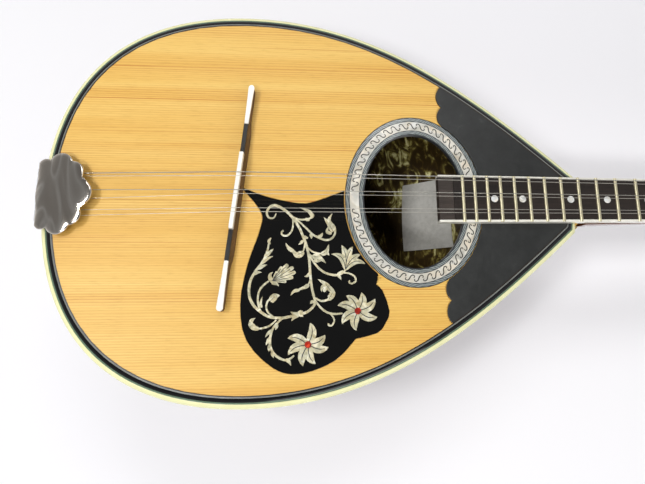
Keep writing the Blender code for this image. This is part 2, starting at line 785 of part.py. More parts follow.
def make_tailpiece(parent):
    chrome = finish("chromed_brass", 0xD8DADC, 0.08, 1.0)
    leg_gap = CLASP_THICKNESS + 2 * GAP
    inner = TAIL_X - leg_gap
    outer = inner - TAILPIECE_SHEET
    low = GAP
    high = GAP + TAILPIECE_SHEET
    shares = spread(*TAILPIECE_LEG_SHARES, 4)
    away = leg_gap + GAP
    leg_inside = [bowl_point(share, math.pi / 2, -away) for share in shares]
    leg_outside = [bowl_point(share, math.pi / 2, -away - TAILPIECE_SHEET) for share in shares]
    bend = low - TAILPIECE_BEND
    profile = [(TAILPIECE_FRONT_X, low), (inner + 0.7 * TAILPIECE_BEND, low), (inner, bend)]
    profile += [(p.x, p.z) for p in leg_inside + leg_outside[::-1]]
    profile += [(outer, bend), (outer + 0.85 * TAILPIECE_BEND, high), (TAILPIECE_FRONT_X, high)]
    base = side_slab("tailpiece_base", profile, lambda x: TAILPIECE_HALF_WIDTH, chrome, parent, TAILPIECE_Y)
    for i, y in enumerate(HOOK_PLACES):
        ring = circle(HOOK_RADIUS, HOOK_RADIUS, 8, (HOOK_X, y))
        hook = slab(f"join_hook_{i + 1}", ring, high - GAP, high + HOOK_HEIGHT, parent=parent)
        combine(base, hook, "UNION")
    heights = ((1.0, 0.0), (1.0, 0.0008), (0.93, 0.0015), (0.55, COVER_RISE))
    back = high + GAP - COVER_SLOPE * COVER_CUSPS[0][0]
    loops = [[(x, y, back + COVER_SLOPE * x + rise) for x, y in cover_outline(scale)] for scale, rise in heights]
    stacked("tailpiece_cover", loops, chrome, parent, smooth=50)
    make_strap_button(chrome, parent)


def turned_loops(profile, steps):
    """Loops of a turned piece from (radius, height) pairs."""
    return [[(x, y, z) for x, y in circle(radius, radius, steps)] for radius, z in profile]


def make_strap_button(material, parent):
    share = BOWL_TAIL_SHARE
    while bowl_point(share, math.pi / 2).z < STRAP_BUTTON_Z and share > 0.02:
        share -= 0.005
    clear = CLASP_THICKNESS + TAILPIECE_SHEET + 4 * GAP
    seat = bowl_point(share, math.pi / 2, -clear)
    radius = STRAP_BUTTON_RADIUS
    length = STRAP_BUTTON_LENGTH
    loops = turned_loops([(share * radius, height * length) for share, height in STRAP_BUTTON_SHAPE], 14)
    obj = stacked("strap_button", loops, material, parent, smooth=40)
    outward = bowl_point(share, math.pi / 2, -clear) - bowl_point(share, math.pi / 2)
    obj.location = seat
    obj.rotation_euler = outward.to_track_quat("Z", "Y").to_euler()


def fret_x(number):
    return SCALE_LENGTH * 2 ** (-number / 12)


def make_fingerboard(parent):
    ebony = finish("ebony", 0x1B1715, 0.35)
    end = NUT_X - GAP
    profile = [(end, BOARD_TOP), (end, BOARD_BOTTOM), (BOARD_END_X, BOARD_BOTTOM), (BOARD_END_X, BOARD_TOP)]
    for number in range(FRET_COUNT, 0, -1):
        x = fret_x(number)
        crown = BOARD_TOP + FRET_HEIGHT
        profile.append((x - FRET_WIDTH / 2, BOARD_TOP))
        profile.append((x - FRET_CROWN / 2, crown))
        profile.append((x + FRET_CROWN / 2, crown))
        profile.append((x + FRET_WIDTH / 2, BOARD_TOP))
    inside = BOARD_BINDING + GAP
    side_slab("fingerboard", profile, lambda x: board_half_width(x) - inside, ebony, parent)
    tongue_end = BOARD_END_X - GAP
    tongue = [
        (EXTENSION_END_X, BOARD_BOTTOM),
        (tongue_end, BOARD_BOTTOM),
        (tongue_end, BOARD_TOP),
        (EXTENSION_END_X, BOARD_TOP),
    ]
    rosewood = finish("brown_rosewood", 0x4A2F20, 0.4)
    side_slab("fingerboard_extension", tongue, board_half_width, rosewood, parent)
    cream = finish("board_binding", 0xE9E6D8, 0.3)
    for name, side in (("bass", 1), ("treble", -1)):
        outline = [
            (BOARD_END_X, side * (board_half_width(BOARD_END_X) - BOARD_BINDING)),
            (end, side * (board_half_width(end) - BOARD_BINDING)),
            (end, side * board_half_width(end)),
            (BOARD_END_X, side * board_half_width(BOARD_END_X)),
        ]
        slab(f"fingerboard_binding_{name}", outline, BOARD_BOTTOM, BOARD_TOP - GAP, cream, parent)
    width = board_half_width(NUT_X)
    back = NUT_X + NUT_LENGTH
    profile = [(NUT_X, GAP), (back, GAP), (back, NUT_TOP - NUT_FALL), (NUT_X, NUT_TOP)]
    side_slab("nut", profile, lambda x: width, finish("bone_nut", 0xEFEAD8, 0.35), parent)


def neck_section(x):
    """Half width and depth of the neck at x."""
    share = (x - NECK_X) / (HEAD_X - NECK_X)
    depth = NECK_DEPTH_BODY + (NECK_DEPTH_NUT - NECK_DEPTH_BODY) * share
    heel = max(0.0, 1 - (x - NECK_X) / HEEL_LENGTH) ** 2
    half_width = board_half_width(x)
    return half_width + (HEEL_HALF_WIDTH - half_width) * heel, depth + (HEEL_DEPTH - depth) * heel


def make_neck(parent):
    start = NECK_X + GAP
    end = HEAD_X - GAP
    loops = []
    for i in range(NECK_STATIONS + 1):
        x = start + (end - start) * (i / NECK_STATIONS) ** 1.8
        half_width, depth = neck_section(x)
        lean = math.tan(HEAD_ANGLE) if i == NECK_STATIONS else 0.0
        loop = []
        for k in range(NECK_FACETS + 1):
            angle = math.pi * k / NECK_FACETS
            z = -depth * math.sin(angle) ** 0.85
            loop.append((x + z * lean, half_width * math.cos(angle), z))
        loops.append(loop)
    stacked("neck", loops, finish("mahogany_neck", 0x6B3A22, 0.35), parent, smooth=40)


def head_outline():
    side = smooth_line(HEAD_SIDE, 3)
    end = (HEAD_LENGTH, HEAD_END_HALF_WIDTH)
    side = side[:-1] + arc(HEAD_SIDE[-1], HEAD_WAIST, HEAD_SHOULDER_BULGE, 5)
    side += arc(HEAD_WAIST, end, HEAD_CREST_BULGE, 4)
    side.append(end)
    return side + mirrored(side)[::-1]


def post_places():
    """(x, side) of each tuner from the low strings' side: its nearest post first."""
    return [(POST_FIRST_X + POST_SPACING * i, side) for side in (1, -1) for i in range(3)]


def make_head(parent):
    walnut = finish("head_walnut", 0x52301F, 0.35)
    head = slab("headstock", head_outline(), -HEAD_THICKNESS, 0.0, walnut, parent)
    bore = POST_RADIUS + TURNING_GAP
    for i, (x, side) in enumerate(post_places()):
        ring = circle(bore, bore, 16, (x, side * POST_Y))
        tool = slab(f"cut_head_bore_{i + 1}", ring, -HEAD_THICKNESS - 0.002, 0.002, parent=parent)
        combine(head, tool, "DIFFERENCE")
    for name, side in (("bass", 1), ("treble", -1)):
        make_tuner_plate(name, side, parent)
    make_tuners(parent)


def make_tuner_plate(name, side, parent):
    """The back plate with two lugs for each worm shaft."""
    low_x = POST_FIRST_X - PLATE_MARGIN
    high_x = POST_FIRST_X + 2 * POST_SPACING + PLATE_MARGIN
    near, far = sorted((side * PLATE_Y[0], side * PLATE_Y[1]))
    outline = ((low_x, near), (high_x, near), (high_x, far), (low_x, far))
    nickel = finish(f"tuner_plate_{name}_nickel", 0xC9C2AE, 0.25, 1.0)
    plate = slab(f"tuner_plate_{name}", outline, PLATE_BOTTOM, PLATE_TOP, nickel, parent)
    lug_low = WORM_Z - WORM_RADIUS
    for i in range(3):
        x = POST_FIRST_X + POST_SPACING * i
        axis_x = x + WORM_OFFSET
        for kind, start in (("inner", LUG_INNER_Y), ("outer", LUG_OUTER_Y)):
            near, far = sorted((side * start, side * (start + LUG_THICKNESS)))
            low = (axis_x - LUG_HALF_WIDTH, near, lug_low)
            high = (axis_x + LUG_HALF_WIDTH, far, PLATE_BOTTOM + PLATE_THICKNESS / 2)
            combine(plate, box(f"join_lug_{kind}_{name}_{i + 1}", low, high, parent), "UNION")
    for i in range(3):
        x = POST_FIRST_X + POST_SPACING * i
        bore = POST_RADIUS + TURNING_GAP
        ring = circle(bore, bore, 16, (x, side * POST_Y))
        low = PLATE_BOTTOM - PLATE_THICKNESS
        high = PLATE_TOP + PLATE_THICKNESS
        tool = slab(f"cut_plate_bore_{name}_{i + 1}", ring, low, high, parent=parent)
        combine(plate, tool, "DIFFERENCE")
        hole = WORM_CORE + TURNING_GAP
        loops = turned_loops(((hole, 0), (hole, PLATE_Y[1])), 12)
        shaft = stacked(f"cut_shaft_{name}_{i + 1}", loops, parent=parent)
        shaft.location = (x + WORM_OFFSET, 0, WORM_Z)
        shaft.rotation_euler = (-side * math.pi / 2, 0, 0)
        combine(plate, shaft, "DIFFERENCE")


def key_loops():
    """The shaft with its worm and its flat button, along Z from its inner end."""
    sections = [(WORM_CORE, WORM_CORE, KEY_START_Y)]
    y = WORM_START
    for _ in range(WORM_RIDGES):
        sections.append((WORM_CORE, WORM_CORE, y))
        sections.append((WORM_RADIUS, WORM_RADIUS, y + WORM_PITCH * 0.35))
        sections.append((WORM_RADIUS, WORM_RADIUS, y + WORM_PITCH * 0.65))
        y += WORM_PITCH
    sections.append((WORM_CORE, WORM_CORE, y))
    sections.append((WORM_CORE, WORM_CORE, BUTTON_START_Y))
    for width, length in BUTTON_SHAPE:
        thickness = BUTTON_HALF_THICKNESS * (1 + width) / 2
        sections.append((thickness, BUTTON_HALF_WIDTH * width, BUTTON_START_Y + BUTTON_LENGTH * length))
    return [
        [(x, y, length - KEY_START_Y) for x, y in circle(radius_x, radius_y, KEY_SIDES)]
        for radius_x, radius_y, length in sections
    ]


def gear_outline():
    """A toothed edge, four corners to a tooth."""
    corners = []
    for tooth in range(GEAR_TEETH):
        for share, depth in ((0.0, GEAR_TOOTH), (0.3, GEAR_TOOTH), (0.45, 0.0), (0.85, 0.0)):
            angle = 2 * math.pi * (tooth + share) / GEAR_TEETH
            radius = GEAR_RADIUS - depth
            corners.append((radius * math.cos(angle), radius * math.sin(angle)))
    return corners


def make_post_mesh():
    """A string post with its gear, along Z with the head's face at Z = 0."""
    low = WORM_Z - GEAR_THICKNESS / 2
    gear_top = WORM_Z + GEAR_THICKNESS / 2
    profile = (
        (POST_RADIUS * 0.6, low - 0.0008),
        (POST_RADIUS, low + 0.001),
        (POST_RADIUS, 0.004),
        (POST_RADIUS, WINDING_TOP + 0.0012),
        (POST_RADIUS * 1.05, POST_TOP - 0.002),
        (POST_RADIUS * 0.7, POST_TOP),
    )
    nickel = finish("nickel_post", 0xC9C2AE, 0.25, 1.0)
    post = stacked("tuner_post_pattern", turned_loops(profile, 14), nickel, smooth=40)
    gear = slab("join_gear", gear_outline(), low, gear_top)
    combine(post, gear, "UNION")
    return post


def applied_mesh(obj):
    """The object's shape with its modifiers worked in, as one mesh that copies can share."""
    bpy.context.view_layer.update()
    graph = bpy.context.evaluated_depsgraph_get()
    return bpy.data.meshes.new_from_object(obj.evaluated_get(graph))


def copy_of(mesh, name, parent):
    obj = bpy.data.objects.new(name, mesh)
    bpy.context.scene.collection.objects.link(obj)
    obj.parent = parent
    return obj


def make_tuners(parent):
    pattern = make_post_mesh()
    post_mesh = applied_mesh(pattern)
    for obj in (bpy.data.objects["join_gear"], pattern):
        bpy.data.objects.remove(obj)
    key = stacked("tuner_key_pattern", key_loops(), finish("ivoroid_button", 0xE6DCC0, 0.25), smooth=35)
    key_mesh = key.data
    bpy.data.objects.remove(key)
    for i, (x, side) in enumerate(post_places()):
        post = copy_of(post_mesh, f"tuner_post_{i + 1}", parent)
        post.location = (x, side * POST_Y, 0)
        turner = copy_of(key_mesh, f"tuner_key_{i + 1}", parent)
        turner.location = (x + WORM_OFFSET, side * KEY_START_Y, WORM_Z)
        turner.rotation_euler = (-side * math.pi / 2, 0, 0)


def head_point(x, y, z):
    """A point of the head's frame in the instrument's frame."""
    cos = math.cos(HEAD_ANGLE)
    sin = math.sin(HEAD_ANGLE)
    return Vector((HEAD_X + x * cos + z * sin, y, z * cos - x * sin))


def string_places(number, course_spread, pair_spread):
    """Y of a string, counted from the low side, where courses and pairs have these spreads."""
    course = number // 2
    inner = number % 2
    return (1 - course) * course_spread + (0.5 - inner) * pair_spread


def string_route(number):
    """From the tailpiece hook over saddle and nut, then round its post on the side facing the middle."""
    radius = STRING_DIAMETERS[number] / 2
    hook_x = HOOK_X + HOOK_RADIUS + GAP + radius
    hook = Vector((hook_x, HOOK_PLACES[number], GAP + TAILPIECE_SHEET + HOOK_HEIGHT * 0.6))
    y = BRIDGE_Y + string_places(number, COURSE_SPREAD_BRIDGE, PAIR_SPREAD_BRIDGE)
    lift = GAP + radius
    saddle = Vector((BRIDGE_X + (y - BRIDGE_Y) * math.tan(BRIDGE_SLANT), y, SADDLE_TOP + lift))
    nut = Vector((NUT_X, string_places(number, COURSE_SPREAD_NUT, PAIR_SPREAD_NUT), NUT_TOP + lift))
    side = 1 if number < 3 else -1
    order = number if number < 3 else 5 - number
    x = POST_FIRST_X + POST_SPACING * order
    turn = POST_RADIUS + GAP + radius
    start = Vector((NUT_X - HEAD_X, side * nut.y))
    away = start - Vector((x, POST_Y))
    first = math.atan2(away.y, away.x) + math.acos(turn / away.length)
    pitch = 2 * radius + WINDING_GAP
    route = [hook, saddle, nut]
    for step in range(WINDING_TURNS * WINDING_STEPS + 1):
        share = step / WINDING_STEPS
        angle = first + 2 * math.pi * share
        local_y = side * (POST_Y + turn * math.sin(angle))
        route.append(head_point(x + turn * math.cos(angle), local_y, WINDING_TOP - pitch * share))
    return route


def least_gap(route, diameter):
    """The smallest space between turns that lie at least half a turn apart along the winding."""
    winding = route[3:]
    apart = WINDING_STEPS // 2
    spaces = [(a - b).length for i, a in enumerate(winding) for b in winding[i + apart :]]
    return min(spaces) - diameter


def make_strings(parent):
    for number, diameter in enumerate(STRING_DIAMETERS):
        route = string_route(number)
        curve = bpy.data.curves.new(f"string_{number + 1}", "CURVE")
        curve.dimensions = "3D"
        curve.bevel_depth = diameter / 2
        curve.bevel_resolution = STRING_BEVEL_STEPS
        curve.use_fill_caps = True
        line = curve.splines.new("POLY")
        line.points.add(len(route) - 1)
        for point, place in zip(line.points, route):
            point.co = (*place, 1)
        curve.materials.append(finish(f"string_{number + 1}_steel", 0xC8C6BE, 0.25, 1.0))
        obj = bpy.data.objects.new(f"string_{number + 1}", curve)
        bpy.context.scene.collection.objects.link(obj)
        obj.parent = parent
        print(f"string_{number + 1}: least gap to itself {1000 * least_gap(route, diameter):.2f} mm")


def rest_pose():
    """(pitch, lift) that set the middle stave's flat facet and the end of the head on Z = 0."""
    tip = head_point(HEAD_LENGTH, 0, -HEAD_THICKNESS)
    facets = STAVE_COUNT * STAVE_FACETS
    keel = [bowl_point(share, math.pi * (facets // 2) / facets) for share in bowl_stations()]
    low = 0.0
    high = math.radians(30)
    for _ in range(50):
        pitch = (low + high) / 2
        cos = math.cos(pitch)
        sin = math.sin(pitch)
        bowl_low = min(p.z * cos - p.x * sin for p in keel)
        if tip.z * cos - tip.x * sin > bowl_low:
            low = pitch
        else:
            high = pitch
    return pitch, -bowl_low


def centre_length(instrument):
    """Slides the instrument along X until the middle of its length is at X = 0."""
    bpy.context.view_layer.update()
    graph = bpy.context.evaluated_depsgraph_get()
    reach = []
    for obj in bpy.data.objects:
        if obj.type != "EMPTY" and not obj.hide_render:
            whole = obj.evaluated_get(graph)
            reach += [(whole.matrix_world @ vertex.co).x for vertex in whole.to_mesh().vertices]
            whole.to_mesh_clear()
    instrument.location.x -= (min(reach) + max(reach)) / 2


def main():
    clear_scene()
    pitch, lift = rest_pose()
    instrument = empty("instrument", location=(0, 0, lift), pitch=pitch)
    head = empty("head_frame", instrument, (HEAD_X, 0, 0), HEAD_ANGLE)
    make_bowl(instrument)
    make_rim(instrument)
    make_top(instrument)
    make_inside(instrument)
    make_bridge(instrument)
    make_tailpiece(instrument)
    make_fingerboard(instrument)
    make_neck(instrument)
    make_head(head)
    make_strings(instrument)
    centre_length(instrument)


main()
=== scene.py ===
"""A Greek bouzouki with three double courses on white studio paper, seen from above its soundboard.

Metres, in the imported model's frame. Pieces are drawn in the instrument's own frame, +X from the bridge
towards the head, +Y towards the low strings, Z = 0 on top of the soundboard. INSTRUMENT sets them in place.
"""

import bisect
import math

import bmesh
import bpy
from mathutils import Matrix, Vector


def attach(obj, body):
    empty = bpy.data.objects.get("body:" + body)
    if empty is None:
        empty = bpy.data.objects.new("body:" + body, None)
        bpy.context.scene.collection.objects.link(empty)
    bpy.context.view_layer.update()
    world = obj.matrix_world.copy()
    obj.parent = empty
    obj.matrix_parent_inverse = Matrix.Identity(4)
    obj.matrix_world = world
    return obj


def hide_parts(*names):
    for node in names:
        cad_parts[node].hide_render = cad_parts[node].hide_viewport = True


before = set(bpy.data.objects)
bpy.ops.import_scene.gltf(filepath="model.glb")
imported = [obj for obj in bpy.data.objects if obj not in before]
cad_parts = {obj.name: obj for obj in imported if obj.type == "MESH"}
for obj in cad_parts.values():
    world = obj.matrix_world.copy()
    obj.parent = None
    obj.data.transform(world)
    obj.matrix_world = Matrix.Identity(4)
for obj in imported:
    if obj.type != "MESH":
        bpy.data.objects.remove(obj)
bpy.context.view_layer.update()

# Clearances
GAP = 0.0003
TURNING_GAP = 0.0004

# Scale, frets and strings
SCALE_LENGTH = 0.670
FRET_COUNT = 26
FRET_WIDTH = 0.0022
FRET_HEIGHT = 0.0010
COURSE_SPREAD_NUT = 0.0090
COURSE_SPREAD_BRIDGE = 0.0127
PAIR_SPREAD_NUT = 0.0018
PAIR_SPREAD_BRIDGE = 0.0027
STRING_DIAMETERS = (0.00070, 0.00040, 0.00050, 0.00034, 0.00034, 0.00034)
HOOK_PLACES = (0.0163, 0.0143, 0.0045, -0.0021, -0.0098, -0.0138)

# Body outline, half of it: tail centre, widest place, neck corner
TAIL_X = -0.1482
TAIL_HANDLE = 0.0848
WIDEST_X = -0.0060
HALF_WIDTH = 0.1444
WIDEST_HANDLE_TAIL = 0.0978
WIDEST_HANDLE_NECK = 0.0957
NECK_X = 0.2430
NECK_CORNER = 0.0182
NECK_HANDLE = 0.1093
SHOULDER_SLOPE = 0.89

# Rim: cream binding outside, black band inside it, both sloping down outwards
BINDING_WIDTH = 0.0038
BINDING_BOTTOM = -0.0090
RIM_BAND_WIDTH = 0.0050
RIM_FALL = 0.0016
SOUNDBOARD_THICKNESS = 0.0030
INLAY_THICKNESS = 0.0009

# Bowl
BOWL_DEPTH = 0.160
BOWL_WALL = 0.0030
BOWL_DEEPEST_X = -0.0120
HEEL_DEPTH = 0.0340
KEEL_HANDLE_TAIL = 0.0860
KEEL_HANDLE_DEEP_TAIL = 0.0850
KEEL_HANDLE_DEEP_NECK = 0.0950
KEEL_HANDLE_NECK = 0.0800
KEEL_SLOPE = 0.62
STAVE_COUNT = 9
STAVE_FACETS = 3
STAVE_STEPS = 13
BOWL_TAIL_SHARE = 0.16
INNER_SHEET = 0.0006
CLASP_THICKNESS = 0.0015
CLASP_START = 0.035
CLASP_REACH = 0.36
CLASP_SINK = 0.0002
RIB_SINK = 0.0003
RIB_SINK_MIDDLE = 0.0009
RIB_SPARE = 0.0013
RIB_ROWS = 56

# Sound hole, rosette, corner plates
ROSETTE_X = 0.1150
ROSETTE_HALF_LENGTH = 0.0510
ROSETTE_HALF_WIDTH = 0.0638
ROSETTE_CHORD = 0.0002
RING_LINE_LIFT = 0.00004
CORNER_EDGE_X = 0.1386
CORNER_MIDDLE = 0.0090
CORNER_LIFT = 0.00004
SCALLOP_CUSPS = (0.0728, 0.0892)
SCALLOP_BULGE = 0.0036

# Paper label seen through the hole
LABEL_X = 0.1523
LABEL_Y = 0.0090
LABEL_LENGTH = 0.0384
LABEL_WIDTH = 0.0608
LABEL_THICKNESS = 0.0004
LABEL_GAP = 0.0008

# Pickguard: top edge, belly, and the lobe beside the rosette
GUARD_TOP = (
    (-0.0106, 0.0086),
    (0.0054, 0.0023),
    (0.0197, -0.0012),
    (0.0321, -0.0031),
    (0.0427, -0.0015),
)
GUARD_LOBE = (
    (0.0846, -0.0613),
    (0.0892, -0.0661),
    (0.0934, -0.0801),
    (0.0903, -0.0883),
    (0.0845, -0.0947),
    (0.0694, -0.0986),
)
GUARD_BELLY = (
    (0.0694, -0.0986),
    (0.0544, -0.1131),
    (0.0316, -0.1211),
    (0.0137, -0.1177),
    (-0.0049, -0.0989),
    (-0.0095, -0.0746),
    (-0.0052, -0.0479),
    (0.0033, -0.0223),
    (0.0038, -0.0092),
    (-0.0106, 0.0086),
)
GUARD_FROM_ROSETTE = 0.0009
GUARD_SIDE_START = math.radians(174.3)
GUARD_SIDE_END = math.radians(243.9)

# Bridge, a loose one held by the strings
BRIDGE_X = -0.0130
BRIDGE_Y = 0.0014
BRIDGE_LENGTH = 0.1627
BRIDGE_SLANT = math.radians(6.9)
BRIDGE_BASE_HEIGHT = 0.0078
BONE_WIDTH = 0.0032
BONE_TIP_HEIGHT = 0.0012
BASS_TIP_END = 0.0296
SADDLE_START = 0.0522
SADDLE_END = 0.1068
TREBLE_TIP_START = 0.1287
SADDLE_TOP = 0.0132
BASE_END_ROUND = 0.0024
TIP_END_ROUND = 0.0022

# Tailpiece
TAILPIECE_Y = 0.0015
TAILPIECE_SHEET = 0.0012
HOOK_X = -0.1280
HOOK_RADIUS = 0.0007
HOOK_HEIGHT = 0.0026
COVER_SLOPE = 0.16
COVER_RISE = 0.0022
COVER_CENTRE_X = -0.1310
COVER_CUSPS = ((-0.1486, 0.0222), (-0.1407, 0.0240), (-0.1246, 0.0227), (-0.1175, 0.0102))
COVER_BULGES = (0.0018, 0.0054, 0.0041)
COVER_FRONT_BULGE = 0.0076
STRAP_BUTTON_RADIUS = 0.0065
STRAP_BUTTON_LENGTH = 0.0095

# Neck and fingerboard
BOARD_END_X = 0.1424
EXTENSION_END_X = 0.1312
BOARD_THICKNESS = 0.0057
BOARD_HALF_WIDTH_BRIDGE = 0.0185
BOARD_TAPER = 0.0075
BOARD_BINDING = 0.0016
NUT_LENGTH = 0.0046
NUT_TOP = 0.0070
NECK_DEPTH_BODY = 0.0195
NECK_DEPTH_NUT = 0.0160
HEEL_LENGTH = 0.075
HEEL_HALF_WIDTH = 0.0176

# Head and tuners, in the head's frame: x along the head, z out of its face
HEAD_ANGLE = math.radians(12.0)
HEAD_THICKNESS = 0.0160
HEAD_LENGTH = 0.1850
HEAD_END_HALF_WIDTH = 0.0150
HEAD_SIDE = (
    (0.0, 0.0140),
    (0.012, 0.0150),
    (0.024, 0.0235),
    (0.036, 0.0325),
    (0.085, 0.0345),
    (0.150, 0.0390),
)
HEAD_WAIST = (0.1690, 0.0215)
HEAD_SHOULDER_BULGE = -0.0035
HEAD_CREST_BULGE = 0.0030
POST_FIRST_X = 0.045
POST_SPACING = 0.040
POST_Y = 0.0220
POST_RADIUS = 0.0030
POST_TOP = 0.0150
WINDING_TOP = 0.0095
WINDING_TURNS = 2
WINDING_GAP = 0.0005
WINDING_STEPS = 24
PLATE_THICKNESS = 0.0012
PLATE_Y = (0.0120, 0.0320)
VENEER = 0.0009
GEAR_TEETH = 14
GEAR_RADIUS = 0.0052
GEAR_TOOTH = 0.0009
GEAR_THICKNESS = 0.0040
WORM_RADIUS = 0.0028
WORM_CORE = 0.0019
WORM_START = 0.0178
WORM_RIDGES = 3
WORM_PITCH = 0.0028
LUG_THICKNESS = 0.0013
LUG_OUTER_Y = 0.0286
KEY_START_Y = 0.0146
BUTTON_START_Y = 0.0450
BUTTON_LENGTH = 0.0160
BUTTON_HALF_WIDTH = 0.0065
BUTTON_HALF_THICKNESS = 0.0035
SCREW_SHIFTS = (-0.0165, 0.0265, 0.0665, 0.0965)

# Sizes and places that follow from those above
BOWL_TOP = BINDING_BOTTOM - GAP
RIM_WIDTH = BINDING_WIDTH + GAP + RIM_BAND_WIDTH
BOARD_BOTTOM = GAP
BOARD_TOP = BOARD_BOTTOM + BOARD_THICKNESS
NUT_X = SCALE_LENGTH - NUT_LENGTH / 2
HEAD_X = NUT_X + NUT_LENGTH + 0.0012
PLATE_TOP = -HEAD_THICKNESS - GAP
PLATE_BOTTOM = PLATE_TOP - PLATE_THICKNESS
WORM_Z = PLATE_BOTTOM - TURNING_GAP - WORM_RADIUS
WORM_OFFSET = GEAR_RADIUS + WORM_RADIUS + TURNING_GAP
GEAR_BOTTOM = WORM_Z - GEAR_THICKNESS / 2
GEAR_TOP = WORM_Z + GEAR_THICKNESS / 2
POST_BORE = POST_RADIUS + TURNING_GAP
BOARD_NUT_END = NUT_X - GAP
RIB_TURN = math.pi / STAVE_COUNT
BOWL_INSIDE = BOWL_WALL + GAP

# Where the instrument and its head lie in the model, and the strap button on its tail
PITCH = 0.123213
INSTRUMENT = Matrix.Translation((-0.340141, 0, 0.158309)) @ Matrix.Rotation(PITCH, 4, "Y")
HEAD = INSTRUMENT @ Matrix.Translation((HEAD_X, 0, 0)) @ Matrix.Rotation(HEAD_ANGLE, 4, "Y")
BUTTON_END = Vector((-0.502980, 0, 0.147452))
BUTTON_DIRECTION = Vector((-0.999662, 0, 0.025997))

# Camera, in the instrument's frame: its place, and its right, down and view directions
CAMERA_LENS = 27.851
CAMERA_PLACE = (0.019948, -0.093245, 0.346453)
CAMERA_AXES = ((0.99701, -0.01180, 0.07640), (0.00186, -0.98432, -0.17640), (0.07728, 0.17602, -0.98135))

# Light of the room on its walls and overhead
ROOM_WALL = 0.75
ROOM_CEILING = 0.15

# How often a search halves the stretch that it looks in
HALVINGS = 40


# Finishes


def linear_colour(code):
    """An sRGB hex colour as linear light with full cover."""
    channels = [(code >> shift & 255) / 255 for shift in (16, 8, 0)]
    return tuple(c / 12.92 if c <= 0.04045 else ((c + 0.055) / 1.055) ** 2.4 for c in channels) + (1.0,)


def new_finish(name, roughness, metallic=0.0, ior=None, coat=0.0, coat_roughness=0.05):
    """A material and its shader, with the values that are the same all over set on the shader itself."""
    finish = bpy.data.materials.new(name)
    finish.use_nodes = True
    shader = finish.node_tree.nodes["Principled BSDF"]
    shader.inputs["Roughness"].default_value = roughness
    shader.inputs["Metallic"].default_value = metallic
    if ior:
        shader.inputs["IOR"].default_value = ior
    shader.inputs["Coat Weight"].default_value = coat
    shader.inputs["Coat Roughness"].default_value = coat_roughness
    return finish, shader


def add(finish, kind, inputs=None, stops=None, **settings):
    """One node with its settings, colour stops, values and links. Sockets given as inputs are linked."""
    made = finish.node_tree.nodes.new(kind)
    for key, value in settings.items():
        setattr(made, key, value)
    for i, (place, code) in enumerate(stops or ()):
        stop = made.color_ramp.elements[i] if i < 2 else made.color_ramp.elements.new(place)
        stop.position = place
        stop.color = linear_colour(code)
    for key, value in (inputs or {}).items():
        if isinstance(value, bpy.types.NodeSocket):
            finish.node_tree.links.new(value, made.inputs[key])
        else:
            made.inputs[key].default_value = value
    return made


def join(finish, shader, **sockets):
    """Links outputs to the shader's inputs. An underscore in a name stands for a space."""
    for name, socket in sockets.items():
        finish.node_tree.links.new(socket, shader.inputs[name.replace("_", " ")])


def along_instrument(finish, scale=(1.0, 1.0, 1.0)):
    """Object coordinates in the instrument's frame, X from bridge to nut, stretched by scale."""
    where = add(finish, "ShaderNodeTexCoord")
    turned = add(
        finish,
        "ShaderNodeMapping",
        {
            "Vector": where.outputs["Object"],
            "Location": tuple(INSTRUMENT.translation),
            "Rotation": (0, PITCH, 0),
        },
        vector_type="TEXTURE",
    )
    stretched = add(finish, "ShaderNodeMapping", {"Vector": turned.outputs["Vector"], "Scale": scale})
    return stretched.outputs["Vector"]


def along_surface(finish, scale=(1.0, 1.0, 1.0)):
    """The piece's own UV map: U along or round it, V across."""
    where = add(finish, "ShaderNodeTexCoord")
    return add(finish, "ShaderNodeMapping", {"Vector": where.outputs["UV"], "Scale": scale}).outputs["Vector"]


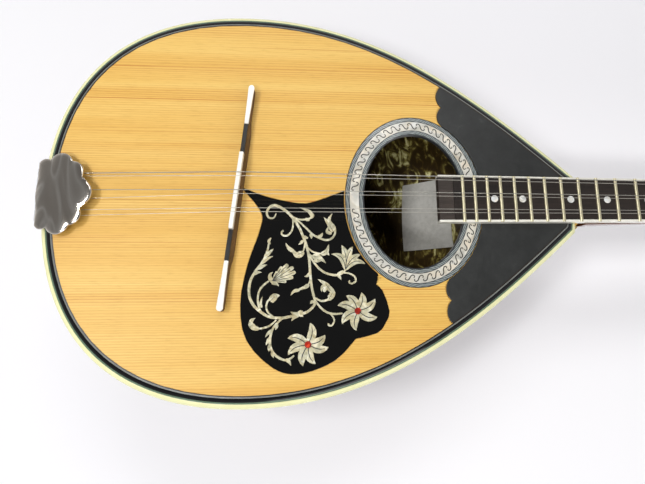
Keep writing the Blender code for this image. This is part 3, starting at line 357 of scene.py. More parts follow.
def cedar_top():
    """Western red cedar, quarter-sawn, under satin lacquer: straight yearly lines about 1.6 mm apart, here
    clear and there faint, a few of them dark, short fine pores between, and broad warmer and paler bands.
    """
    finish, shader = new_finish("cedar_satin_lacquer", 0.5, ior=1.45, coat=0.05, coat_roughness=0.35)
    place = along_instrument(finish, (0.012, 1, 1))
    years = add(
        finish, "ShaderNodeTexWave",
        {"Vector": place, "Scale": 180, "Distortion": 15.0, "Detail": 3, "Detail Scale": 0.22},
        bands_direction="Y",
    )
    line = add(
        finish, "ShaderNodeValToRGB", {"Fac": years.outputs["Fac"]},
        stops=((0.35, 0xFFFFFF), (1.0, 0xD08F42)),
    )
    clear = add(finish, "ShaderNodeTexNoise", {"Vector": place, "Scale": 48, "Detail": 3, "Roughness": 0.6})
    clearness = add(
        finish, "ShaderNodeMapRange",
        {"Value": clear.outputs["Fac"], "From Min": 0.36, "From Max": 0.68, "To Min": 0.06, "To Max": 0.5},
    )
    rare = add(finish, "ShaderNodeTexNoise", {"Vector": place, "Scale": 210, "Detail": 1})
    dark = add(
        finish, "ShaderNodeMapRange",
        {"Value": rare.outputs["Fac"], "From Min": 0.62, "From Max": 0.72, "To Min": 0.0, "To Max": 0.5},
    )
    strength = add(
        finish, "ShaderNodeMath", {0: clearness.outputs["Result"], 1: dark.outputs["Result"]},
        operation="ADD",
    )
    broad = add(
        finish, "ShaderNodeTexNoise",
        {"Vector": along_instrument(finish, (0.03, 1, 1)), "Scale": 55, "Detail": 5, "Roughness": 0.6},
    )
    base = add(
        finish, "ShaderNodeValToRGB", {"Fac": broad.outputs["Fac"]},
        stops=((0.3, 0xD9A84A), (0.48, 0xE1B65C), (0.7, 0xE8C46D)),
    )
    pores = add(
        finish, "ShaderNodeTexNoise",
        {"Vector": along_instrument(finish, (0.09, 1, 1)), "Scale": 900, "Detail": 4, "Roughness": 0.7},
    )
    pore = add(
        finish, "ShaderNodeValToRGB", {"Fac": pores.outputs["Fac"]},
        stops=((0.3, 0xDCCBAE), (0.5, 0xFFFFFF)),
    )
    lined = add(
        finish, "ShaderNodeMix",
        {"Factor": strength.outputs[0], "A": base.outputs["Color"], "B": line.outputs["Color"]},
        data_type="RGBA", blend_type="MULTIPLY",
    )
    whole = add(
        finish, "ShaderNodeMix",
        {"Factor": 0.4, "A": lined.outputs["Result"], "B": pore.outputs["Color"]}, data_type="RGBA",
        blend_type="MULTIPLY",
    )
    raised = add(
        finish, "ShaderNodeBump", {"Height": pores.outputs["Fac"], "Strength": 0.06, "Distance": 0.0002}
    )
    join(finish, shader, Base_Color=whole.outputs["Result"], Normal=raised.outputs[0])
    return finish


def plain_wood(name, dark, light, grain_mm, roughness, coat=0.0, length=0.12, relief=0.15):
    """A wood with its grain along the instrument, from its darkest and lightest tone. grain_mm is how far
    apart its pores lie, and length the pattern's scale along the grain as a share of that across it.
    """
    finish, shader = new_finish(name, roughness, ior=1.5, coat=coat, coat_roughness=0.12)
    place = along_instrument(finish, (length, 1, 1))
    grain = add(finish, "ShaderNodeTexNoise", {"Vector": place, "Scale": 1000 / grain_mm / 2, "Detail": 5})
    cloud = add(finish, "ShaderNodeTexNoise", {"Vector": place, "Scale": 1000 / grain_mm / 14, "Detail": 2})
    both = add(
        finish, "ShaderNodeMath", {0: grain.outputs["Fac"], 1: cloud.outputs["Fac"]}, operation="MULTIPLY"
    )
    tone = add(finish, "ShaderNodeValToRGB", {"Fac": both.outputs[0]}, stops=((0.12, dark), (0.42, light)))
    raised = add(
        finish, "ShaderNodeBump", {"Height": grain.outputs["Fac"], "Strength": relief, "Distance": 0.0003}
    )
    join(finish, shader, Base_Color=tone.outputs["Color"], Normal=raised.outputs[0])
    return finish


def stave_walnut():
    """Walnut ribs, scraped and glossily lacquered: dark streaks along each rib, each with its own tone,
    and a pale stringing line where two ribs meet. U runs round from rib to rib, V along a rib.
    """
    finish, shader = new_finish("walnut_rib_gloss_lacquer", 0.3, ior=1.5, coat=0.7, coat_roughness=0.06)
    ribs = along_surface(finish)
    parts = add(finish, "ShaderNodeSeparateXYZ", {"Vector": ribs})
    rib = add(finish, "ShaderNodeMath", {0: parts.outputs["X"]}, operation="FLOOR")
    across = add(finish, "ShaderNodeMath", {0: parts.outputs["X"]}, operation="FRACT")
    tone = add(finish, "ShaderNodeTexWhiteNoise", {"W": rib.outputs[0]}, noise_dimensions="1D")
    streaks = add(
        finish, "ShaderNodeTexNoise",
        {"Vector": along_surface(finish, (9, 1.3, 1)), "Scale": 2.2, "Detail": 6, "Distortion": 0.3},
    )
    pores = add(
        finish, "ShaderNodeTexNoise",
        {"Vector": along_surface(finish, (60, 7, 1)), "Scale": 3, "Detail": 3},
    )
    colour = add(
        finish, "ShaderNodeValToRGB", {"Fac": streaks.outputs["Fac"]},
        stops=((0.3, 0x3B2314), (0.52, 0x63402A), (0.72, 0x7E5638)),
    )
    pore = add(
        finish, "ShaderNodeValToRGB", {"Fac": pores.outputs["Fac"]},
        stops=((0.32, 0x8A7A6C), (0.5, 0xFFFFFF)),
    )
    dotted = add(
        finish, "ShaderNodeMix",
        {"Factor": 0.5, "A": colour.outputs["Color"], "B": pore.outputs["Color"]}, data_type="RGBA",
        blend_type="MULTIPLY",
    )
    own = add(
        finish, "ShaderNodeMapRange",
        {"Value": tone.outputs["Value"], "From Min": 0.0, "From Max": 1.0, "To Min": 0.84, "To Max": 1.18},
    )
    toned = add(
        finish, "ShaderNodeHueSaturation",
        {"Color": dotted.outputs["Result"], "Value": own.outputs["Result"]},
    )
    middle = add(finish, "ShaderNodeMath", {0: across.outputs[0], 1: 0.5}, operation="SUBTRACT")
    side = add(finish, "ShaderNodeMath", {0: middle.outputs[0]}, operation="ABSOLUTE")
    edge = add(finish, "ShaderNodeMath", {0: side.outputs[0], 1: 0.483}, operation="GREATER_THAN")
    strung = add(
        finish, "ShaderNodeMix",
        {"Factor": edge.outputs[0], "A": toned.outputs["Color"], "B": linear_colour(0xC9A873)},
        data_type="RGBA",
    )
    raised = add(
        finish, "ShaderNodeBump", {"Height": pores.outputs["Fac"], "Strength": 0.06, "Distance": 0.0003}
    )
    join(finish, shader, Base_Color=strung.outputs["Result"], Normal=raised.outputs[0])
    return finish


def smooth_celluloid(name, code, other, roughness, spot_mm=6.0, coat=0.5, ior=1.5):
    """Sheet celluloid or acrylic, buffed: an even colour that drifts a little, under a clear gloss."""
    finish, shader = new_finish(name, roughness, ior=ior, coat=coat, coat_roughness=0.04)
    place = along_instrument(finish)
    cloud = add(finish, "ShaderNodeTexNoise", {"Vector": place, "Scale": 1000 / spot_mm, "Detail": 3})
    tone = add(
        finish, "ShaderNodeValToRGB", {"Fac": cloud.outputs["Fac"]}, stops=((0.35, code), (0.65, other))
    )
    haze = add(
        finish, "ShaderNodeMapRange",
        {"Value": cloud.outputs["Fac"], "To Min": roughness * 0.8, "To Max": roughness * 1.25},
    )
    join(finish, shader, Base_Color=tone.outputs["Color"], Roughness=haze.outputs["Result"])
    return finish


def corner_celluloid():
    """Dark grey celluloid, rubbed satin by the player's hand: paler soft patches painted as a faint blotchy
    reflection, and fine swirls.
    """
    finish, shader = new_finish("grey_celluloid_satin", 0.38, ior=1.5)
    place = along_instrument(finish)
    patches = add(
        finish, "ShaderNodeTexNoise", {"Vector": place, "Scale": 38, "Detail": 5, "Roughness": 0.75}
    )
    swirls = add(
        finish, "ShaderNodeTexNoise",
        {"Vector": along_instrument(finish, (1, 0.25, 1)), "Scale": 420, "Detail": 4},
    )
    # The paler patches in this colour are a painted reflection.
    tone = add(
        finish, "ShaderNodeValToRGB", {"Fac": patches.outputs["Fac"]},
        stops=((0.4, 0x252625), (0.6, 0x2D2E2D), (0.76, 0x434544)),
    )
    haze = add(
        finish, "ShaderNodeMapRange", {"Value": swirls.outputs["Fac"], "To Min": 0.28, "To Max": 0.55}
    )
    raised = add(
        finish, "ShaderNodeBump", {"Height": swirls.outputs["Fac"], "Strength": 0.05, "Distance": 0.0002}
    )
    join(
        finish, shader, Base_Color=tone.outputs["Color"], Roughness=haze.outputs["Result"],
        Normal=raised.outputs[0],
    )
    return finish


def guard_black():
    """Black acrylic plate, machine polished: deep black with hairline scratches that only dull the shine."""
    finish, shader = new_finish("black_acrylic_polished", 0.1, ior=1.49)
    place = along_instrument(finish, (0.3, 1, 1))
    lines = add(finish, "ShaderNodeTexNoise", {"Vector": place, "Scale": 600, "Detail": 2})
    cloud = add(
        finish, "ShaderNodeTexNoise", {"Vector": along_instrument(finish), "Scale": 30, "Detail": 3}
    )
    haze = add(
        finish, "ShaderNodeMapRange", {"Value": lines.outputs["Fac"], "To Min": 0.05, "To Max": 0.16}
    )
    tone = add(
        finish, "ShaderNodeValToRGB", {"Fac": cloud.outputs["Fac"]},
        stops=((0.3, 0x050505), (0.75, 0x0C0C0B)),
    )
    join(finish, shader, Base_Color=tone.outputs["Color"], Roughness=haze.outputs["Result"])
    return finish


def pearl(name, dark, middle, bright, patch_mm, roughness=0.2):
    """Mother-of-pearl or its celluloid likeness: patches that each catch the light in their own grey,
    with cool and warm tints and silky streaks. Patches are drawn at their real size.
    """
    finish, shader = new_finish(name, roughness, ior=1.53, coat=0.6, coat_roughness=0.05)
    place = along_instrument(finish)
    wander = add(finish, "ShaderNodeTexNoise", {"Vector": place, "Scale": 500 / patch_mm, "Detail": 2})
    bent = add(
        finish, "ShaderNodeMix",
        {"Factor": 0.03 * patch_mm / 6, "A": place, "B": wander.outputs["Color"]}, data_type="RGBA",
    )
    cells = add(
        finish, "ShaderNodeTexVoronoi", {"Vector": bent.outputs["Result"], "Scale": 1000 / patch_mm},
        feature="SMOOTH_F1",
    )
    silk = add(
        finish, "ShaderNodeTexNoise",
        {"Vector": bent.outputs["Result"], "Scale": 900 / patch_mm, "Detail": 5},
    )
    parts = add(finish, "ShaderNodeSeparateColor", {"Color": cells.outputs["Color"]})
    level = add(
        finish, "ShaderNodeMix", {"Factor": 0.5, "A": parts.outputs[0], "B": silk.outputs["Fac"]},
        data_type="FLOAT",
    )
    tone = add(
        finish, "ShaderNodeValToRGB", {"Fac": level.outputs["Result"]},
        stops=((0.2, dark), (0.5, middle), (0.78, bright)),
    )
    tint = add(
        finish, "ShaderNodeValToRGB", {"Fac": parts.outputs[1]},
        stops=((0.2, 0xE2E8F2), (0.5, 0xFFFFFF), (0.8, 0xF6EBDD)),
    )
    whole = add(
        finish, "ShaderNodeMix",
        {"Factor": 0.6, "A": tone.outputs["Color"], "B": tint.outputs["Color"]}, data_type="RGBA",
        blend_type="MULTIPLY",
    )
    join(finish, shader, Base_Color=whole.outputs["Result"])
    return finish


def crinkled_pearloid():
    """Celluloid sheet with pearl flake: dark olive brown, crossed by crinkled streaks that flash green-gold.
    The streaks are 2 to 6 mm long and stand in cloudy patches of about 30 mm.
    """
    finish, shader = new_finish("olive_pearloid_sheet", 0.28, ior=1.5, coat=0.5)
    folds = add(
        finish,
        "ShaderNodeTexNoise",
        {
            "Vector": along_instrument(finish, (1, 0.4, 1)),
            "Scale": 110,
            "Detail": 5,
            "Roughness": 0.6,
            "Distortion": 1.6,
        },
    )
    patches = add(
        finish, "ShaderNodeTexNoise", {"Vector": along_instrument(finish), "Scale": 34, "Detail": 3}
    )
    patch = add(
        finish, "ShaderNodeMapRange",
        {"Value": patches.outputs["Fac"], "From Min": 0.35, "From Max": 0.65, "To Min": -0.1, "To Max": 0.1},
    )
    light = add(
        finish, "ShaderNodeMath", {0: folds.outputs["Fac"], 1: patch.outputs["Result"]}, operation="ADD"
    )
    tone = add(
        finish, "ShaderNodeValToRGB", {"Fac": light.outputs[0]},
        stops=((0.46, 0x35270F), (0.56, 0x54451E), (0.63, 0x9C914F), (0.71, 0xECE6A8)),
    )
    raised = add(
        finish, "ShaderNodeBump", {"Height": folds.outputs["Fac"], "Strength": 0.35, "Distance": 0.001}
    )
    join(finish, shader, Base_Color=tone.outputs["Color"], Normal=raised.outputs[0])
    return finish


def striped_celluloid(name, stripes, slant):
    """Laminated celluloid strip cut across its layers: fine slanting stripes of light and dark grey.
    The layers are drawn about twice as coarse as they are, so that they still show.
    """
    finish, shader = new_finish(name, 0.25, ior=1.5, coat=0.5)
    parts = add(finish, "ShaderNodeSeparateXYZ", {"Vector": along_surface(finish)})
    turns = add(finish, "ShaderNodeMath", {0: parts.outputs["X"], 1: stripes}, operation="MULTIPLY")
    lean = add(finish, "ShaderNodeMath", {0: parts.outputs["Y"], 1: slant}, operation="MULTIPLY")
    both = add(finish, "ShaderNodeMath", {0: turns.outputs[0], 1: lean.outputs[0]}, operation="ADD")
    cycle = add(finish, "ShaderNodeMath", {0: both.outputs[0]}, operation="FRACT")
    tone = add(
        finish, "ShaderNodeValToRGB", {"Fac": cycle.outputs[0]},
        stops=((0.0, 0x2A3031), (0.3, 0x55605F), (0.6, 0xB4BAB8), (0.95, 0x353C3D)),
    )
    join(finish, shader, Base_Color=tone.outputs["Color"])
    return finish


def metal(name, code, other, roughness, spot_mm=4.0, brushed=0.0):
    """A plated or polished metal: one reflection colour that drifts with wear, and a fine change in gloss."""
    finish, shader = new_finish(name, roughness, metallic=1.0)
    place = along_instrument(finish, (1, 1, 1) if not brushed else (0.1, 1, 1))
    cloud = add(finish, "ShaderNodeTexNoise", {"Vector": place, "Scale": 1000 / spot_mm, "Detail": 4})
    tone = add(
        finish, "ShaderNodeValToRGB", {"Fac": cloud.outputs["Fac"]}, stops=((0.3, code), (0.7, other))
    )
    haze = add(
        finish, "ShaderNodeMapRange",
        {"Value": cloud.outputs["Fac"], "To Min": roughness * 0.7, "To Max": roughness * 1.4},
    )
    join(finish, shader, Base_Color=tone.outputs["Color"], Roughness=haze.outputs["Result"])
    if brushed:
        raised = add(
            finish, "ShaderNodeBump",
            {"Height": cloud.outputs["Fac"], "Strength": brushed, "Distance": 0.0001},
        )
        join(finish, shader, Normal=raised.outputs[0])
    return finish


def chrome_with_painted_reflections():
    """Worn chrome on pressed brass: a warm mirror with soft lighter streaks, which are painted reflections of
    the room, and the slight unevenness of the pressing, which bends what it mirrors.
    """
    finish, shader = new_finish("chrome_painted_reflection_streaks", 0.14, metallic=1.0)
    streaks = add(
        finish, "ShaderNodeTexNoise",
        {"Vector": along_instrument(finish, (1, 0.3, 1)), "Scale": 45, "Detail": 1, "Distortion": 1.2},
    )
    # The lighter streaks in this colour are painted reflections of the room.
    tone = add(
        finish, "ShaderNodeValToRGB", {"Fac": streaks.outputs["Fac"]},
        stops=((0.3, 0xBDB4A8), (0.5, 0xC9C1B6), (0.56, 0xE4DED4), (0.62, 0xC8C0B5)),
    )
    raised = add(
        finish, "ShaderNodeBump", {"Height": streaks.outputs["Fac"], "Strength": 0.25, "Distance": 0.0015}
    )
    join(finish, shader, Base_Color=tone.outputs["Color"], Normal=raised.outputs[0])
    return finish


def wound_steel():
    """Plain steel core wound with silvered wire: bright turns with dark gaps. The turns are 0.15 mm in the
    real one and are drawn 0.7 mm apart, which still shows from close by. The bands are laid out along the
    instrument's length, in its own frame.
    """
    finish, shader = new_finish("silver_wound_string", 0.3, metallic=1.0)
    turns = add(
        finish, "ShaderNodeTexWave",
        {"Vector": along_instrument(finish), "Scale": math.pi / 10 / 0.0007}, bands_direction="X",
    )
    tone = add(
        finish, "ShaderNodeValToRGB", {"Fac": turns.outputs["Fac"]},
        stops=((0.1, 0x8E8B82), (0.6, 0xC4C1B8)),
    )
    raised = add(
        finish, "ShaderNodeBump", {"Height": turns.outputs["Fac"], "Strength": 0.5, "Distance": 0.0002}
    )
    join(finish, shader, Base_Color=tone.outputs["Color"], Normal=raised.outputs[0])
    return finish


def label_paper():
    """Uncoated paper, greyed with age: soft fibres, a few darker specks, quite matt."""
    finish, shader = new_finish("aged_label_paper", 0.85, ior=1.45)
    place = along_instrument(finish)
    fibres = add(
        finish, "ShaderNodeTexNoise", {"Vector": place, "Scale": 260, "Detail": 6, "Roughness": 0.7}
    )
    blots = add(finish, "ShaderNodeTexNoise", {"Vector": place, "Scale": 40, "Detail": 2})
    both = add(
        finish, "ShaderNodeMix", {"Factor": 0.5, "A": fibres.outputs["Fac"], "B": blots.outputs["Fac"]},
        data_type="FLOAT",
    )
    tone = add(
        finish, "ShaderNodeValToRGB", {"Fac": both.outputs["Result"]},
        stops=((0.35, 0xB2B0A8), (0.5, 0xC4C2BB), (0.68, 0xD2D0C9)),
    )
    raised = add(
        finish, "ShaderNodeBump", {"Height": fibres.outputs["Fac"], "Strength": 0.2, "Distance": 0.0002}
    )
    join(finish, shader, Base_Color=tone.outputs["Color"], Normal=raised.outputs[0])
    return finish


def red_stone():
    """Cut red glass in a pressed setting: clear deep red, lighter where the facets catch light."""
    finish, shader = new_finish("cut_red_glass", 0.06, ior=1.56, coat=0.6, coat_roughness=0.02)
    place = along_instrument(finish)
    facets = add(finish, "ShaderNodeTexVoronoi", {"Vector": place, "Scale": 520}, feature="F1")
    parts = add(finish, "ShaderNodeSeparateColor", {"Color": facets.outputs["Color"]})
    tone = add(
        finish, "ShaderNodeValToRGB", {"Fac": parts.outputs[0]},
        stops=((0.1, 0x4E0C08), (0.45, 0xA82414), (0.9, 0xDA4426)),
    )
    join(finish, shader, Base_Color=tone.outputs["Color"])
    return finish


def floor_paper():
    """Seamless studio paper, nearly white with a cool cast: a faint tooth and slow change in tone."""
    finish, shader = new_finish("white_studio_paper", 0.9, ior=1.4)
    where = add(finish, "ShaderNodeTexCoord")
    slow = add(finish, "ShaderNodeTexNoise", {"Vector": where.outputs["Object"], "Scale": 1.2, "Detail": 1})
    tooth = add(
        finish, "ShaderNodeTexNoise", {"Vector": where.outputs["Object"], "Scale": 700, "Detail": 2}
    )
    tone = add(
        finish, "ShaderNodeValToRGB", {"Fac": slow.outputs["Fac"]},
        stops=((0.3, 0xF4F3F6), (0.7, 0xFAF9FB)),
    )
    raised = add(
        finish, "ShaderNodeBump", {"Height": tooth.outputs["Fac"], "Strength": 0.03, "Distance": 0.0003}
    )
    join(finish, shader, Base_Color=tone.outputs["Color"], Normal=raised.outputs[0])
    return finish


FINISH = {
    "cedar": cedar_top(),
    "walnut_rib": stave_walnut(),
    "pearloid_lining": crinkled_pearloid(),
    "label": label_paper(),
    "clasp": plain_wood("ebonised_pearwood_lacquered", 0x1D1410, 0x33251C, 0.8, 0.25, coat=0.6, length=0.4),
    "cream": smooth_celluloid("cream_celluloid_buffed", 0xE4E2AC, 0xEAE8B6, 0.25, 14.0, coat=0.1),
    "rim_black": smooth_celluloid("black_celluloid_buffed", 0x060607, 0x0B0B0D, 0.08, 20.0, coat=0.0),
    "rim_green": smooth_celluloid("grey_green_celluloid_line", 0x5A705A, 0x647A64, 0.25, 8.0, coat=0.0),
    "rim_grey": smooth_celluloid("grey_celluloid_line", 0x6C6E6A, 0x7C7E79, 0.25, 8.0, coat=0.0),
    "rim_dark": plain_wood("dyed_black_veneer", 0x1B130D, 0x2E2218, 0.6, 0.4),
    "spruce": plain_wood("bare_spruce", 0xC49F64, 0xE0C48E, 1.6, 0.75),
    "cedar_block": plain_wood("bare_cedar", 0x94683A, 0xBE8D58, 1.8, 0.75),
    "ring_outer": striped_celluloid("striped_ring_outer", 52.0, 13.0),
    "ring_inner": striped_celluloid("striped_ring_inner", 42.0, 13.0),
    "ring_silver": pearl("silver_pearloid", 0xC2BDAE, 0xD9D4C6, 0xEFEBE0, 7.0, 0.25),
    "wave": smooth_celluloid("black_paste_in_wave", 0x3A3731, 0x4A463E, 0.4, 4.0, coat=0.0),
    "ring_line": smooth_celluloid("dark_grey_celluloid_line", 0x26282A, 0x34363A, 0.3, 4.0),
    "corner": corner_celluloid(),
    "guard": guard_black(),
    "inlay": pearl("mother_of_pearl_inlay", 0x9A9272, 0xCFC8A6, 0xF3EFD8, 3.0, 0.2),
    "engraving": smooth_celluloid("black_engraving_paste", 0x17171A, 0x242428, 0.45, 2.0, coat=0.0),
    "stone": red_stone(),
    "bridge_wood": plain_wood("rosewood_oiled", 0x3C281C, 0x75563E, 0.7, 0.45),
    "bridge_ebony": smooth_celluloid("ebony_inlay_polished", 0x0A0908, 0x14110F, 0.35, 2.5, coat=0.0),
    "bone": smooth_celluloid("polished_bone", 0xEDEAE0, 0xF6F4EC, 0.3, 3.0, coat=0.2),
    "chrome": metal("chromed_pressed_brass", 0xC9C9C8, 0xDDDDDC, 0.12, 12.0),
    "cover_chrome": chrome_with_painted_reflections(),
    "ebony": plain_wood("ebony_oiled", 0x17120F, 0x322822, 0.5, 0.35, coat=0.15, length=0.06),
    "extension": plain_wood("dark_rosewood_oiled", 0x28221E, 0x463C35, 0.6, 0.42, coat=0.1),
    "board_binding": smooth_celluloid("off_white_celluloid", 0xE4E1D4, 0xF0EDE2, 0.25, 5.0),
    "fret": metal("fret_wire_brass_toned", 0xE4DBB6, 0xF2EAC8, 0.42, 3.0),
    "dot": pearl("pearl_position_dot", 0xC4C3BC, 0xE2E1DA, 0xF6F5F0, 3.0, 0.15),
    "mahogany": plain_wood("mahogany_gloss_lacquer", 0x4E2614, 0x83492B, 0.9, 0.28, coat=0.7, length=0.05),
    "head_wood": plain_wood("walnut_gloss_lacquer", 0x3C2416, 0x6B472F, 0.9, 0.28, coat=0.7, length=0.06),
    "head_veneer": plain_wood("ebony_head_veneer", 0x140F0D, 0x2A211C, 0.6, 0.22, coat=0.8, length=0.06),
    "nickel": metal("nickel_plated_steel", 0xB4AE9E, 0xCEC9BC, 0.24, 3.0, brushed=0.08),
    "brass": metal("brass_gear_worn", 0xA9894A, 0xC8AA68, 0.28, 2.0),
    "ivoroid": smooth_celluloid("ivoroid_button", 0xDDD0AC, 0xEADFC2, 0.2, 2.5),
    "plain_string": metal("plain_steel_string", 0xBDB9AF, 0xD0CCC2, 0.4, 5.0),
    "wound_string": wound_steel(),
    "floor": floor_paper(),
}


# Curves and places


def bezier(points, share):
    """The point at a share of a cubic curve, in as many dimensions as its points have."""
    rest = 1 - share
    weights = (rest**3, 3 * share * rest**2, 3 * share**2 * rest, share**3)
    return [sum(w * p[axis] for w, p in zip(weights, points)) for axis in range(len(points[0]))]


def smooth_line(points, steps):
    """A Catmull-Rom line through the points, with its ends left free."""
    line = []
    for i in range(len(points) - 1):
        before = points[max(i - 1, 0)]
        start = points[i]
        end = points[i + 1]
        after = points[min(i + 2, len(points) - 1)]
        for step in range(steps):
            t = step / steps
            place = []
            for a, b, c, d in zip(before, start, end, after):
                square = a - 2.5 * b + 2 * c - d / 2
                cube = 1.5 * (b - c) + (d - a) / 2
                place.append(b + (c - a) * t / 2 + square * t**2 + cube * t**3)
            line.append(tuple(place))
    line.append(tuple(points[-1]))
    return line


def arc(start, end, bulge, steps):
    """Points from start up to, not including, end on an arc that stands out to the left by bulge."""
    chord = Vector((end[0] - start[0], end[1] - start[1]))
    left = Vector((-chord.y, chord.x)).normalized()
    radius = (chord.length**2 / 4 + bulge**2) / (2 * bulge)
    middle = (Vector(start) + Vector(end)) / 2
    centre = middle - left * (radius - bulge)
    half = math.asin(max(-1.0, min(1.0, chord.length / 2 / radius)))
    top = math.atan2(left.y, left.x)
    turns = [top + half - 2 * half * i / steps for i in range(steps)]
    return [(centre.x + radius * math.cos(a), centre.y + radius * math.sin(a)) for a in turns]


TAIL_CURVE = (
    (TAIL_X, 0.0),
    (TAIL_X, TAIL_HANDLE),
    (WIDEST_X - WIDEST_HANDLE_TAIL, HALF_WIDTH),
    (WIDEST_X, HALF_WIDTH),
)
SHOULDER_DIRECTION = Vector((1, -SHOULDER_SLOPE)).normalized()
SHOULDER_CURVE = (
    (WIDEST_X, HALF_WIDTH),
    (WIDEST_X + WIDEST_HANDLE_NECK, HALF_WIDTH),
    (NECK_X - NECK_HANDLE * SHOULDER_DIRECTION.x, NECK_CORNER - NECK_HANDLE * SHOULDER_DIRECTION.y),
    (NECK_X, NECK_CORNER),
)


def rim_point(share, inset=0.0):
    """The half outline moved in by inset. share runs 0 to 1 from tail to widest and on to 2 at the neck."""
    curve = TAIL_CURVE if share <= 1 else SHOULDER_CURVE
    local = share if share <= 1 else share - 1
    small = 1e-4
    low = Vector(bezier(curve, max(local - small, 0)))
    high = Vector(bezier(curve, min(local + small, 1)))
    along = (high - low).normalized()
    here = Vector(bezier(curve, local))
    return here - Vector((-along.y, along.x)) * inset


def share_at(x, inset=0.0):
    """Where along the half outline it reaches x."""
    low = 0.0
    high = 2.0
    for _ in range(HALVINGS):
        middle = (low + high) / 2
        if rim_point(middle, inset).x < x:
            low = middle
        else:
            high = middle
    return low


def half_width_at(x, inset=0.0):
    return rim_point(share_at(x, inset), inset).y


def keel_depth(x):
    """Depth of the bowl below its top edge along the centre line."""
    tail = TAIL_X + GAP
    deep = BOWL_DEPTH + BOWL_TOP
    if x < BOWL_DEEPEST_X:
        curve = (
            (tail, 0.0),
            (tail, KEEL_HANDLE_TAIL),
            (BOWL_DEEPEST_X - KEEL_HANDLE_DEEP_TAIL, deep),
            (BOWL_DEEPEST_X, deep),
        )
    else:
        end = HEEL_DEPTH + BOWL_TOP
        along = Vector((1, -KEEL_SLOPE)).normalized() * KEEL_HANDLE_NECK
        curve = (
            (BOWL_DEEPEST_X, deep),
            (BOWL_DEEPEST_X + KEEL_HANDLE_DEEP_NECK, deep),
            (NECK_X - along.x, end - along.y),
            (NECK_X, end),
        )
    low = 0.0
    high = 1.0
    for _ in range(HALVINGS):
        middle = (low + high) / 2
        if bezier(curve, middle)[0] < x:
            low = middle
        else:
            high = middle
    return bezier(curve, low)[1]


def bowl_point(share, angle, inward=0.0):
    """A point on the bowl. angle runs from 0 at the bass edge to pi at the treble edge."""

    def surface(s, a):
        rim = rim_point(s, GAP)
        return Vector((rim.x, rim.y * math.cos(a), BOWL_TOP - keel_depth(rim.x) * math.sin(a)))

    here = surface(share, angle)
    if not inward:
        return here
    small = 1e-3
    along = surface(min(share + small, 2), angle) - surface(share - small, angle)
    around = surface(share, angle + small) - surface(share, angle - small)
    return here - along.cross(around).normalized() * inward


def spread(start, end, steps):
    return [start + (end - start) * i / steps for i in range(steps + 1)]


def board_half_width(x):
    return BOARD_HALF_WIDTH_BRIDGE - BOARD_TAPER * x


def bowl_stations():
    """Where the staves' cross sections lie along the half outline, closest together at the tail."""
    length = 2 - BOWL_TAIL_SHARE
    return [BOWL_TAIL_SHARE + length * (i / STAVE_STEPS) ** 1.15 for i in range(STAVE_STEPS + 1)]


def rosette_arc(grow, start, end, steps):
    """Part of the rosette's outer edge, between two angles of its ellipse."""
    half_length = ROSETTE_HALF_LENGTH + grow
    half_width = ROSETTE_HALF_WIDTH + grow
    angles = spread(start, end, steps)
    return [(ROSETTE_X + half_length * math.cos(a), half_width * math.sin(a)) for a in angles]


def mirrored(outline):
    return [(x, -y) for x, y in outline]


def fret_x(number):
    return SCALE_LENGTH * 2 ** (-number / 12)


def neck_section(x):
    """Half width and depth of the neck at x."""
    share = (x - NECK_X) / (HEAD_X - NECK_X)
    depth = NECK_DEPTH_BODY + (NECK_DEPTH_NUT - NECK_DEPTH_BODY) * share
    heel = max(0.0, 1 - (x - NECK_X) / HEEL_LENGTH) ** 2
    half_width = board_half_width(x)
    return half_width + (HEEL_HALF_WIDTH - half_width) * heel, depth + (HEEL_DEPTH - depth) * heel


def post_places():
    """(x, side) of each tuner from the low strings' side: its nearest post first."""
    return [(POST_FIRST_X + POST_SPACING * i, side) for side in (1, -1) for i in range(3)]


def head_point(x, y, z):
    """A point of the head's frame in the instrument's frame."""
    cos = math.cos(HEAD_ANGLE)
    sin = math.sin(HEAD_ANGLE)
    return Vector((HEAD_X + x * cos + z * sin, y, z * cos - x * sin))


def string_places(number, course_spread, pair_spread):
    """Y of a string, counted from the low side, where courses and pairs have these spreads."""
    course = number // 2
    inner = number % 2
    return (1 - course) * course_spread + (0.5 - inner) * pair_spread


def string_route(number):
    """From the tailpiece hook over saddle and nut, then round its post on the side facing the middle."""
    radius = STRING_DIAMETERS[number] / 2
    hook_x = HOOK_X + HOOK_RADIUS + GAP + radius
    hook = Vector((hook_x, HOOK_PLACES[number], GAP + TAILPIECE_SHEET + HOOK_HEIGHT * 0.6))
    y = BRIDGE_Y + string_places(number, COURSE_SPREAD_BRIDGE, PAIR_SPREAD_BRIDGE)
    lift = GAP + radius
    saddle = Vector((BRIDGE_X + (y - BRIDGE_Y) * math.tan(BRIDGE_SLANT), y, SADDLE_TOP + lift))
    nut = Vector((NUT_X, string_places(number, COURSE_SPREAD_NUT, PAIR_SPREAD_NUT), NUT_TOP + lift))
    side = 1 if number < 3 else -1
    order = number if number < 3 else 5 - number
    x = POST_FIRST_X + POST_SPACING * order
    turn = POST_RADIUS + GAP + radius
    start = Vector((NUT_X - HEAD_X, side * nut.y))
    away = start - Vector((x, POST_Y))
    first = math.atan2(away.y, away.x) + math.acos(turn / away.length)
    pitch = 2 * radius + WINDING_GAP
    route = [hook, saddle, nut]
    for step in range(WINDING_TURNS * WINDING_STEPS + 1):
        share = step / WINDING_STEPS
        angle = first + 2 * math.pi * share
        local_y = side * (POST_Y + turn * math.sin(angle))
        route.append(head_point(x + turn * math.cos(angle), local_y, WINDING_TOP - pitch * share))
    return route


# Ways of shaping a mesh


def deselect_all():
    bpy.ops.object.select_all(action="DESELECT")


def pick(obj):
    """Makes one object the only selected and the active one."""
    deselect_all()
    obj.select_set(True)
    bpy.context.view_layer.objects.active = obj


def in_edit_mode(obj):
    """Opens one object in edit mode, with all of it selected."""
    pick(obj)
    bpy.ops.object.mode_set(mode="EDIT")
    bpy.ops.mesh.select_all(action="SELECT")


